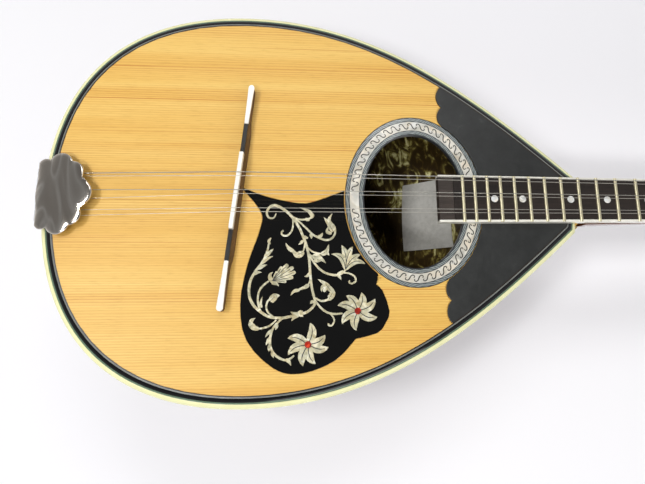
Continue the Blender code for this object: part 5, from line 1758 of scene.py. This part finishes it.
def bone_section(half_width):
    """The cross section of a bone piece, from the function that gives its half width."""

    def section(length):
        half = half_width(length)
        return [(-half, 0), (half, 0), (half, 0.7), (half * 0.85, 1), (-half * 0.85, 1), (-half, 0.7)]

    return section


def tip_half_width(length):
    """The tips widen towards the ends of the bridge, like small paddles."""
    out = max(BASS_TIP_END - length, length - TREBLE_TIP_START, 0) / BASS_TIP_END
    return 0.0015 + 0.0007 * out**1.2


def make_bridge():
    """The base, the bone saddle and tips that stand on it, and the ebony between them."""
    low = BRIDGE_BASE_HEIGHT + GAP
    tip = low + BONE_TIP_HEIGHT
    blunt = 0.0001
    square = (0.0002, 0.0002)
    paddle = bone_section(tip_half_width)
    slim = bone_section(lambda length: BONE_WIDTH / 2)
    bar(
        "bridge_base_rosewood", 0, BRIDGE_LENGTH, GAP, BRIDGE_BASE_HEIGHT, base_section,
        (BASE_END_ROUND, BASE_END_ROUND), "bridge_wood", "bridge_base", 90,
    )
    bones = (
        ("tip_bass", 0, BASS_TIP_END, tip, paddle, (TIP_END_ROUND, blunt)),
        ("tip_treble", TREBLE_TIP_START, BRIDGE_LENGTH, tip, paddle, (blunt, TIP_END_ROUND)),
        ("saddle", SADDLE_START, SADDLE_END, SADDLE_TOP, slim, square),
    )
    for name, start, end, top, section, ends in bones:
        bar(f"bridge_{name}_bone", start, end, low, top, section, ends, "bone", f"bridge_{name}")
    stretches = (("bass", BASS_TIP_END, SADDLE_START), ("treble", SADDLE_END, TREBLE_TIP_START))
    for name, start, end in stretches:
        bar(
            f"bridge_ebony_{name}", start + GAP, end - GAP, BRIDGE_BASE_HEIGHT, tip, slim, square,
            "bridge_ebony",
        )


# Tailpiece


def fine_cover_outline():
    """The cover's lobed edge, from its bass back corner round the front, with its straight back last."""
    outline = []
    for a, b, bulge in zip(COVER_CUSPS, COVER_CUSPS[1:], COVER_BULGES):
        outline += arc(a, b, bulge, 12)
    last = COVER_CUSPS[-1]
    outline += arc(last, (last[0], -last[1]), COVER_FRONT_BULGE, 24)
    back = [(x, -y) for x, y in reversed(COVER_CUSPS)]
    for a, b, bulge in zip(back, back[1:], reversed(COVER_BULGES)):
        outline += arc(a, b, bulge, 12)
    outline += [(back[-1][0], back[-1][1] + (COVER_CUSPS[0][1] - back[-1][1]) * i / 16) for i in range(16)]
    return outline


def make_cover():
    """The pressed cover, with its rolled edge and crowned top. Its lobes fade out towards the middle."""
    outline = fine_cover_outline()
    profile = (
        (0.980, 0.0002), (0.995, 0.0), (1.0, 0.0004), (0.994, 0.0009), (0.975, 0.0013), (0.940, 0.00155),
        (0.880, 0.00175), (0.780, 0.00190), (0.600, 0.00205), (0.350, 0.00215), (0.100, COVER_RISE),
        (0.010, COVER_RISE),
    )
    mean = sum(math.hypot(x - COVER_CENTRE_X, y) for x, y in outline) / len(outline)
    back = 2 * GAP + TAILPIECE_SHEET - COVER_SLOPE * COVER_CUSPS[0][0]
    sections = []
    for scale, rise in profile:
        lobes = min(1.0, max(0.0, (scale - 0.7) / 0.27)) ** 1.5
        loop = []
        for x, y in outline:
            reach = math.hypot(x - COVER_CENTRE_X, y)
            smooth = scale * (lobes + (1 - lobes) * mean / reach)
            along = COVER_CENTRE_X + (x - COVER_CENTRE_X) * smooth
            loop.append((along, TAILPIECE_Y + y * smooth, back + COVER_SLOPE * along + rise))
        sections.append(loop)
    cover = lofted("tailpiece_cover_pressed", sections)
    settle(cover, "cover_chrome", replaces="tailpiece_cover", smooth=50)


def make_strap_button():
    """The turned button on the tail. shape lists shares of its radius and of its length."""
    shape = (
        (0.9, 0.0), (0.86, 0.05), (0.6, 0.14), (0.5, 0.25), (0.45, 0.45), (0.47, 0.6),
        (0.7, 0.7), (0.97, 0.78), (1.0, 0.84), (0.97, 0.92), (0.8, 0.98), (0.3, 1.0),
    )
    profile = [(radius * STRAP_BUTTON_RADIUS, height * STRAP_BUTTON_LENGTH) for radius, height in shape]
    button = turned("strap_button_turned", profile)
    turn = BUTTON_DIRECTION.to_track_quat("Z", "Y").to_matrix().to_4x4()
    seat = BUTTON_END - BUTTON_DIRECTION * STRAP_BUTTON_LENGTH
    place = Matrix.Translation(seat) @ turn
    settle(button, "chrome", replaces="strap_button", place=place, smooth=40)


# Neck and fingerboard


# The frets behind which a dot lies
DOTS = (3, 5, 7, 10, 12, 15, 17, 19, 22, 24)
DOT_RADIUS = 0.0026


def make_fingerboard():
    """The ebony board between its binding strips."""
    end = BOARD_NUT_END
    at_body, at_nut = (board_half_width(x) - BOARD_BINDING for x in (BOARD_END_X, end))
    outline = [(BOARD_END_X, -at_body), (end, -at_nut), (end, at_nut), (BOARD_END_X, at_body)]
    board = plate("ebony_fingerboard", outline, BOARD_BOTTOM, BOARD_TOP)
    settle(board, "ebony", replaces="fingerboard", smooth=0)


def make_frets():
    """One fret, copied to each place and stretched to the board's width there."""

    def crown(u, v):
        angle = math.pi * (1 - u)
        ease = 1 - 0.35 * max(0.0, abs(2 * v - 1) - 0.96) / 0.04
        x = FRET_WIDTH / 2 * math.cos(angle)
        return Vector((x, 2 * v - 1, FRET_HEIGHT * math.sin(angle) ** 0.6 * ease if 0 < u < 1 else 0.0))

    pattern = shaped_grid("fret_pattern", 10, 48, crown, close_ends=True)
    frets = []
    for number in range(1, FRET_COUNT + 1):
        x = fret_x(number)
        size = Matrix.Diagonal((1, board_half_width(x) - 0.0001, 1, 1))
        place = Matrix.Translation((x, 0, BOARD_TOP + 0.00002))
        frets.append(copied(pattern, f"fret_{number}", place @ size))
    bpy.data.objects.remove(pattern)
    wires = joined(frets, "fret_wires")
    settle(wires, "fret", smooth=50)


def make_dots():
    """Pearl dots, each midway between two frets."""
    profile = ((DOT_RADIUS, 0.0), (DOT_RADIUS, 0.00005), (DOT_RADIUS * 0.96, 0.00008))
    disc = turned("dot_pattern", profile, 32)
    dots = []
    for number in DOTS:
        middle = (fret_x(number) + fret_x(number - 1)) / 2
        dots.append(copied(disc, f"dot_{number}", Matrix.Translation((middle, 0, BOARD_TOP))))
    bpy.data.objects.remove(disc)
    settle(joined(dots, "pearl_position_dots"), "dot", smooth=30)


def make_board_edges():
    """The extension over the sound hole, and the two binding strips beside it and the board."""
    end = BOARD_NUT_END
    tongue_end = BOARD_END_X - GAP
    places = (EXTENSION_END_X, tongue_end, end)
    wide, narrow, at_nut = (board_half_width(x) - BOARD_BINDING for x in places)
    tongue = [(EXTENSION_END_X, -wide), (tongue_end, -narrow)]
    tongue += [(tongue_end, narrow), (EXTENSION_END_X, wide)]
    extension = plate("brown_extension", tongue, BOARD_BOTTOM, BOARD_TOP - 0.0001)
    settle(extension, "extension", replaces="fingerboard_extension", smooth=0)
    for name, side in (("bass", 1), ("treble", -1)):
        strip = [
            (EXTENSION_END_X, side * wide),
            (end, side * at_nut),
            (end, side * board_half_width(end)),
            (EXTENSION_END_X, side * board_half_width(EXTENSION_END_X)),
        ]
        binding = plate(f"board_binding_{name}", strip, BOARD_BOTTOM, BOARD_TOP)
        node_name = f"fingerboard_binding_{name}"
        settle(binding, "board_binding", replaces=node_name, smooth=30)


def make_nut():
    """The bone nut, rounded off towards the head."""
    half = board_half_width(NUT_X)
    sections = []
    rows = 24
    for i in range(rows + 1):
        y = half - 2 * half * i / rows
        sections.append(
            [
                (NUT_X, y, GAP),
                (NUT_X + NUT_LENGTH, y, GAP),
                (NUT_X + NUT_LENGTH, y, NUT_TOP - 0.0016),
                (NUT_X + NUT_LENGTH * 0.8, y, NUT_TOP - 0.0009),
                (NUT_X + NUT_LENGTH * 0.45, y, NUT_TOP - 0.0003),
                (NUT_X + 0.0003, y, NUT_TOP),
                (NUT_X, y, NUT_TOP - 0.0003),
            ]
        )
    settle(lofted("bone_nut", sections), "bone", replaces="nut", smooth=40)


def make_neck():
    """The neck: round at the back, with its heel at the body and its end cut to the head's slant."""
    start = NECK_X + GAP
    end = HEAD_X - GAP
    rows, around = 72, 28
    sections = []
    for i in range(rows + 1):
        x = start + (end - start) * (i / rows) ** 1.5
        half_width, depth = neck_section(x)
        lean = math.tan(HEAD_ANGLE) * max(0.0, (i / rows - 0.96) / 0.04)
        loop = []
        for k in range(around + 1):
            angle = math.pi * k / around
            z = -depth * math.sin(angle) ** 0.85
            loop.append((x + z * lean, half_width * math.cos(angle), z))
        sections.append(loop)
    neck = lofted("mahogany_neck", sections)
    settle(neck, "mahogany", replaces="neck", smooth=40)


# Head and tuners


def fine_head_outline():
    """The head's outline: out along the bass side and back along the treble side."""
    side = smooth_line(HEAD_SIDE, 8)
    end = (HEAD_LENGTH, HEAD_END_HALF_WIDTH)
    side = side[:-1] + arc(HEAD_SIDE[-1], HEAD_WAIST, HEAD_SHOULDER_BULGE, 14)
    side += arc(HEAD_WAIST, end, HEAD_CREST_BULGE, 12)
    side.append(end)
    return side + mirrored(side)[::-1]


def bore_tool(low, high):
    """Six round bars in one, for boring the holes of the posts."""
    tools = []
    for i, (x, side) in enumerate(post_places()):
        tool = turned(f"bore_{i + 1}", ((POST_BORE, low), (POST_BORE, high)), 24)
        tool.data.transform(Matrix.Translation((x, side * POST_Y, 0)))
        tools.append(tool)
    return joined(tools, "bores")


def make_head():
    """The headstock and the dark face on it, bored for the posts."""
    outline = fine_head_outline()
    wood = plate("walnut_headstock", outline, -HEAD_THICKNESS, -VENEER)
    in_edit_mode(wood)
    choose_edges(wood, lambda a, b: max(a.z, b.z) < -HEAD_THICKNESS + 1e-6)
    bpy.ops.mesh.bevel(offset=0.0012, segments=3, affect="EDGES")
    to_object_mode()
    cut_away(wood, bore_tool(-HEAD_THICKNESS - 0.004, 0.004))
    settle(wood, "head_wood", replaces="headstock", place=HEAD, smooth=12, turn=False)
    face = plate("ebony_head_face", outline, -VENEER, 0.0, 0.0004)
    cut_away(face, bore_tool(-0.004, 0.004))
    settle(face, "head_veneer", place=HEAD, smooth=12, turn=False)


def make_bushings():
    """A domed nickel ring round each post."""

    def circle(radius, z, share):
        angle = 2 * math.pi * share
        return Vector((radius * math.cos(angle), radius * math.sin(angle), z))

    section = [(POST_BORE, 0.0), (POST_BORE, 0.0010), (POST_BORE + 0.0005, 0.0013)]
    section += [(0.0050, 0.0010), (0.0054, 0.0004), (0.0054, 0.0)]
    bush = hoop("bushing_pattern", section, circle, 36)
    rings = []
    for i, (x, side) in enumerate(post_places()):
        rings.append(copied(bush, f"bushing_{i + 1}", Matrix.Translation((x, side * POST_Y, 0.00002))))
    bpy.data.objects.remove(bush)
    settle(joined(rings, "post_bushings"), "nickel", place=HEAD, smooth=40)


def make_screws():
    """Slotted screws that hold the tuner plates to the back of the head."""
    profile = ((0.0021, 0.0), (0.0021, 0.0003), (0.0017, 0.0008), (0.0009, 0.0010))
    screw = turned("screw_pattern", profile, 20)
    slot = ((-0.003, -0.00025), (0.003, -0.00025), (0.003, 0.00025), (-0.003, 0.00025))
    cut_away(screw, plate("slot_tool", slot, 0.0006, 0.002))
    screws = []
    for side in (1, -1):
        for i, shift in enumerate(SCREW_SHIFTS):
            turn = Matrix.Rotation(math.pi, 4, "X") @ Matrix.Rotation(0.7 * i + side, 4, "Z")
            middle = side * (PLATE_Y[0] + PLATE_Y[1]) / 2
            place = Matrix.Translation((POST_FIRST_X + shift, middle, PLATE_BOTTOM))
            screws.append(copied(screw, f"screw_{side}_{i}", place @ turn))
    bpy.data.objects.remove(screw)
    settle(joined(screws, "plate_screws"), "nickel", place=HEAD, smooth=40)


def post_pattern():
    """A turned post, drilled for its string."""
    profile = (
        (POST_RADIUS * 0.55, GEAR_BOTTOM - 0.0008),
        (POST_RADIUS * 0.75, GEAR_BOTTOM - 0.0006),
        (POST_RADIUS, GEAR_BOTTOM + 0.001),
        (POST_RADIUS, 0.004),
        (POST_RADIUS * 0.97, WINDING_TOP - 0.002),
        (POST_RADIUS * 0.97, WINDING_TOP + 0.0012),
        (POST_RADIUS * 1.05, POST_TOP - 0.0026),
        (POST_RADIUS * 1.03, POST_TOP - 0.0010),
        (POST_RADIUS * 0.85, POST_TOP - 0.0002),
        (POST_RADIUS * 0.5, POST_TOP),
    )
    post = turned("post_pattern", profile, 32)
    hole = turned("string_hole", ((0.0007, -0.006), (0.0007, 0.006)), 14)
    hole.data.transform(Matrix.Translation((0, 0, 0.0119)) @ Matrix.Rotation(math.pi / 2, 4, "X"))
    cut_away(post, hole)
    return post


def gear_pattern():
    """The gear on a post. tooth_corners lists shares of a tooth's turn, and depths below its tip."""
    tooth_corners = (
        (0.0, GEAR_TOOTH), (0.2, GEAR_TOOTH), (0.38, 0.0003),
        (0.5, 0.0), (0.7, 0.0), (0.82, 0.0003),
    )
    teeth = []
    for tooth in range(GEAR_TEETH):
        for share, depth in tooth_corners:
            angle = 2 * math.pi * (tooth + share) / GEAR_TEETH
            teeth.append(((GEAR_RADIUS - depth) * math.cos(angle), (GEAR_RADIUS - depth) * math.sin(angle)))
    return plate("gear_pattern", teeth, GEAR_BOTTOM, GEAR_TOP, 0.0002, 1)


def shaft_pattern():
    """A key's shaft, with the worm's thread, a collar outside the lug and a seat for the button."""

    def worm(u, v):
        y = KEY_START_Y + (BUTTON_START_Y + 0.001 - KEY_START_Y) * v
        angle = 2 * math.pi * u
        radius = WORM_CORE
        last = WORM_START + WORM_RIDGES * WORM_PITCH
        lug_end = LUG_OUTER_Y + LUG_THICKNESS
        if WORM_START < y < last:
            fade = min(1.0, (y - WORM_START) / 0.001, (last - y) / 0.001)
            wave = 0.5 + 0.5 * math.sin(2 * math.pi * (y - WORM_START) / WORM_PITCH - angle)
            radius += (WORM_RADIUS - WORM_CORE) * min(1.0, 1.4 * wave) * fade
        elif lug_end + 0.0006 < y < lug_end + 0.0022:
            radius = WORM_CORE + 0.0006
        elif y > BUTTON_START_Y - 0.0026:
            radius = WORM_CORE + 0.0003
        return Vector((radius * math.cos(angle), radius * math.sin(angle), y - KEY_START_Y))

    return shaped_grid("shaft_pattern", 24, 120, worm, close_ends=True)


def button_pattern():
    """A key's flat button. shape lists shares of its width and of its length."""
    shape = (
        (0.50, 0.0), (0.66, 0.06), (0.80, 0.16), (0.93, 0.34), (1.0, 0.56),
        (0.97, 0.74), (0.86, 0.89), (0.66, 0.97), (0.3, 1.0),
    )
    sections = []
    for width, length in shape:
        thickness = BUTTON_HALF_THICKNESS * (1 + width) / 2 * 0.98
        z = BUTTON_START_Y + BUTTON_LENGTH * length - KEY_START_Y
        turns = [2 * math.pi * k / 36 for k in range(36)]
        reach = BUTTON_HALF_WIDTH * width
        sections.append([(thickness * math.cos(a), reach * math.sin(a), z) for a in turns])
    return lofted("button_pattern", sections)


def make_tuners():
    """Each post with its gear, and each key with its worm and button."""
    post = post_pattern()
    gear = gear_pattern()
    shaft = shaft_pattern()
    button = button_pattern()
    for i, (x, side) in enumerate(post_places()):
        post_place = HEAD @ Matrix.Translation((x, side * POST_Y, 0))
        body = f"post_{i + 1}"
        node_name = f"tuner_post_{i + 1}"
        peg = copied(post, f"string_post_{i + 1}")
        settle(peg, "nickel", body, node_name, post_place, 40, turn=False)
        settle(copied(gear, f"post_gear_{i + 1}"), "brass", body, place=post_place, smooth=30)
        key_place = HEAD @ Matrix.Translation((x + WORM_OFFSET, side * KEY_START_Y, WORM_Z))
        key_place = key_place @ Matrix.Rotation(-side * math.pi / 2, 4, "X")
        body = f"key_{i + 1}"
        node_name = f"tuner_key_{i + 1}"
        settle(copied(shaft, f"worm_shaft_{i + 1}"), "nickel", body, node_name, key_place, 50)
        settle(copied(button, f"key_button_{i + 1}"), "ivoroid", body, (), key_place, 50)
    for pattern in (post, gear, shaft, button):
        bpy.data.objects.remove(pattern)


# Strings


def make_strings():
    """Six taut wires, the first and third of them wound."""
    for number, diameter in enumerate(STRING_DIAMETERS):
        route = string_route(number)
        straight = []
        for start, end in zip(route[:3], route[1:3]):
            straight += [start.lerp(end, k / 12) for k in range(12)]
        wire = tube(f"string_wire_{number + 1}", straight + route[2:], diameter / 2)
        finish = "wound_string" if number in (0, 2) else "plain_string"
        settle(wire, finish, replaces=f"string_{number + 1}", smooth=60)


def dress_kept_nodes():
    """Gives each CAD solid that stays in view its real finish."""
    finishes = {
        "soundboard": "cedar",
        "edge_lining": "spruce",
        "brace_lower": "spruce",
        "brace_middle": "spruce",
        "brace_upper": "spruce",
        "tail_block": "cedar_block",
        "neck_block": "cedar_block",
        "tailpiece_base": "chrome",
        "tuner_plate_bass": "nickel",
        "tuner_plate_treble": "nickel",
    }
    for name, finish in finishes.items():
        for place in bpy.data.objects[name].material_slots:
            place.material = FINISH[finish]


# Floor, light and camera


def make_floor():
    """The paper that the instrument lies on."""
    deselect_all()
    bpy.ops.mesh.primitive_plane_add(size=6, location=(0, 0, 0))
    floor = bpy.context.object
    floor.name = "floor"
    in_edit_mode(floor)
    bpy.ops.mesh.subdivide(number_cuts=8)
    to_object_mode()
    floor.data.materials.append(FINISH["floor"])


def make_lamp(name, towards, distance, width, height, power):
    """A soft box that looks at the body from a direction in the instrument's frame."""
    target = INSTRUMENT @ Vector((0.04, 0, 0))
    turn = INSTRUMENT.to_3x3()
    direction = (turn @ Vector(towards)).normalized()
    deselect_all()
    bpy.ops.object.light_add(type="AREA", location=target + direction * distance)
    lamp = bpy.context.object
    lamp.name = name
    lamp.rotation_euler = direction.to_track_quat("Z", "Y").to_euler()
    lamp.data.shape = "RECTANGLE"
    lamp.data.size = width
    lamp.data.size_y = height
    lamp.data.energy = power


def make_world():
    """A plain pale room: brighter near the horizon than straight overhead."""
    world = bpy.data.worlds.new("studio_room")
    bpy.context.scene.world = world
    world.use_nodes = True
    tree = world.node_tree
    back = tree.nodes["Background"]
    where = tree.nodes.new("ShaderNodeTexCoord")
    parts = tree.nodes.new("ShaderNodeSeparateXYZ")
    tree.links.new(where.outputs["Generated"], parts.inputs[0])
    ramp = tree.nodes.new("ShaderNodeValToRGB")
    for i, (place, value) in enumerate(((0.1, ROOM_WALL), (0.85, ROOM_CEILING))):
        stop = ramp.color_ramp.elements[i]
        stop.position = place
        stop.color = (value, value, value * 1.02, 1)
    tree.links.new(parts.outputs["Z"], ramp.inputs["Fac"])
    tree.links.new(ramp.outputs["Color"], back.inputs["Color"])
    back.inputs["Strength"].default_value = 1.0


def make_camera():
    """The camera that took the picture, with a full-frame sensor."""
    data = bpy.data.cameras.new("camera")
    data.lens = CAMERA_LENS
    data.sensor_width = 36.0
    data.sensor_fit = "HORIZONTAL"
    data.clip_start = 0.01
    camera = bpy.data.objects.new("camera", data)
    bpy.context.scene.collection.objects.link(camera)
    right, down, view = (Vector(axis) for axis in CAMERA_AXES)
    turn = Matrix((right, -down, -view)).transposed().to_4x4()
    camera.matrix_world = INSTRUMENT @ Matrix.Translation(Vector(CAMERA_PLACE)) @ turn
    bpy.context.scene.camera = camera


make_camera()
dress_kept_nodes()
make_ribs()
make_lining()
make_clasp()
make_label()
make_rim()
make_rosette()
make_guard()
make_inlay()
make_stones()
make_corner_plates()
make_bridge()
make_cover()
make_strap_button()
make_fingerboard()
make_frets()
make_dots()
make_board_edges()
make_nut()
make_neck()
make_head()
make_bushings()
make_screws()
make_tuners()
make_strings()
make_floor()
make_world()
make_lamp("left_softbox", (-0.45, 0.0, 0.89), 1.4, 0.3, 0.3, 7.6)
make_lamp("near_softbox", (-0.21, -0.44, 0.87), 1.4, 0.24, 0.14, 4.0)
make_lamp("corner_softbox", (-0.42, -0.36, 0.835), 1.4, 0.2, 0.14, 2.6)
make_lamp("back_softbox", (0.0, 0.56, 0.83), 1.5, 0.9, 0.4, 5.5)
make_lamp("front_softbox", (0.35, -0.85, 0.45), 1.5, 1.0, 0.6, 4.0)
bpy.context.scene.view_settings.view_transform = "Standard"
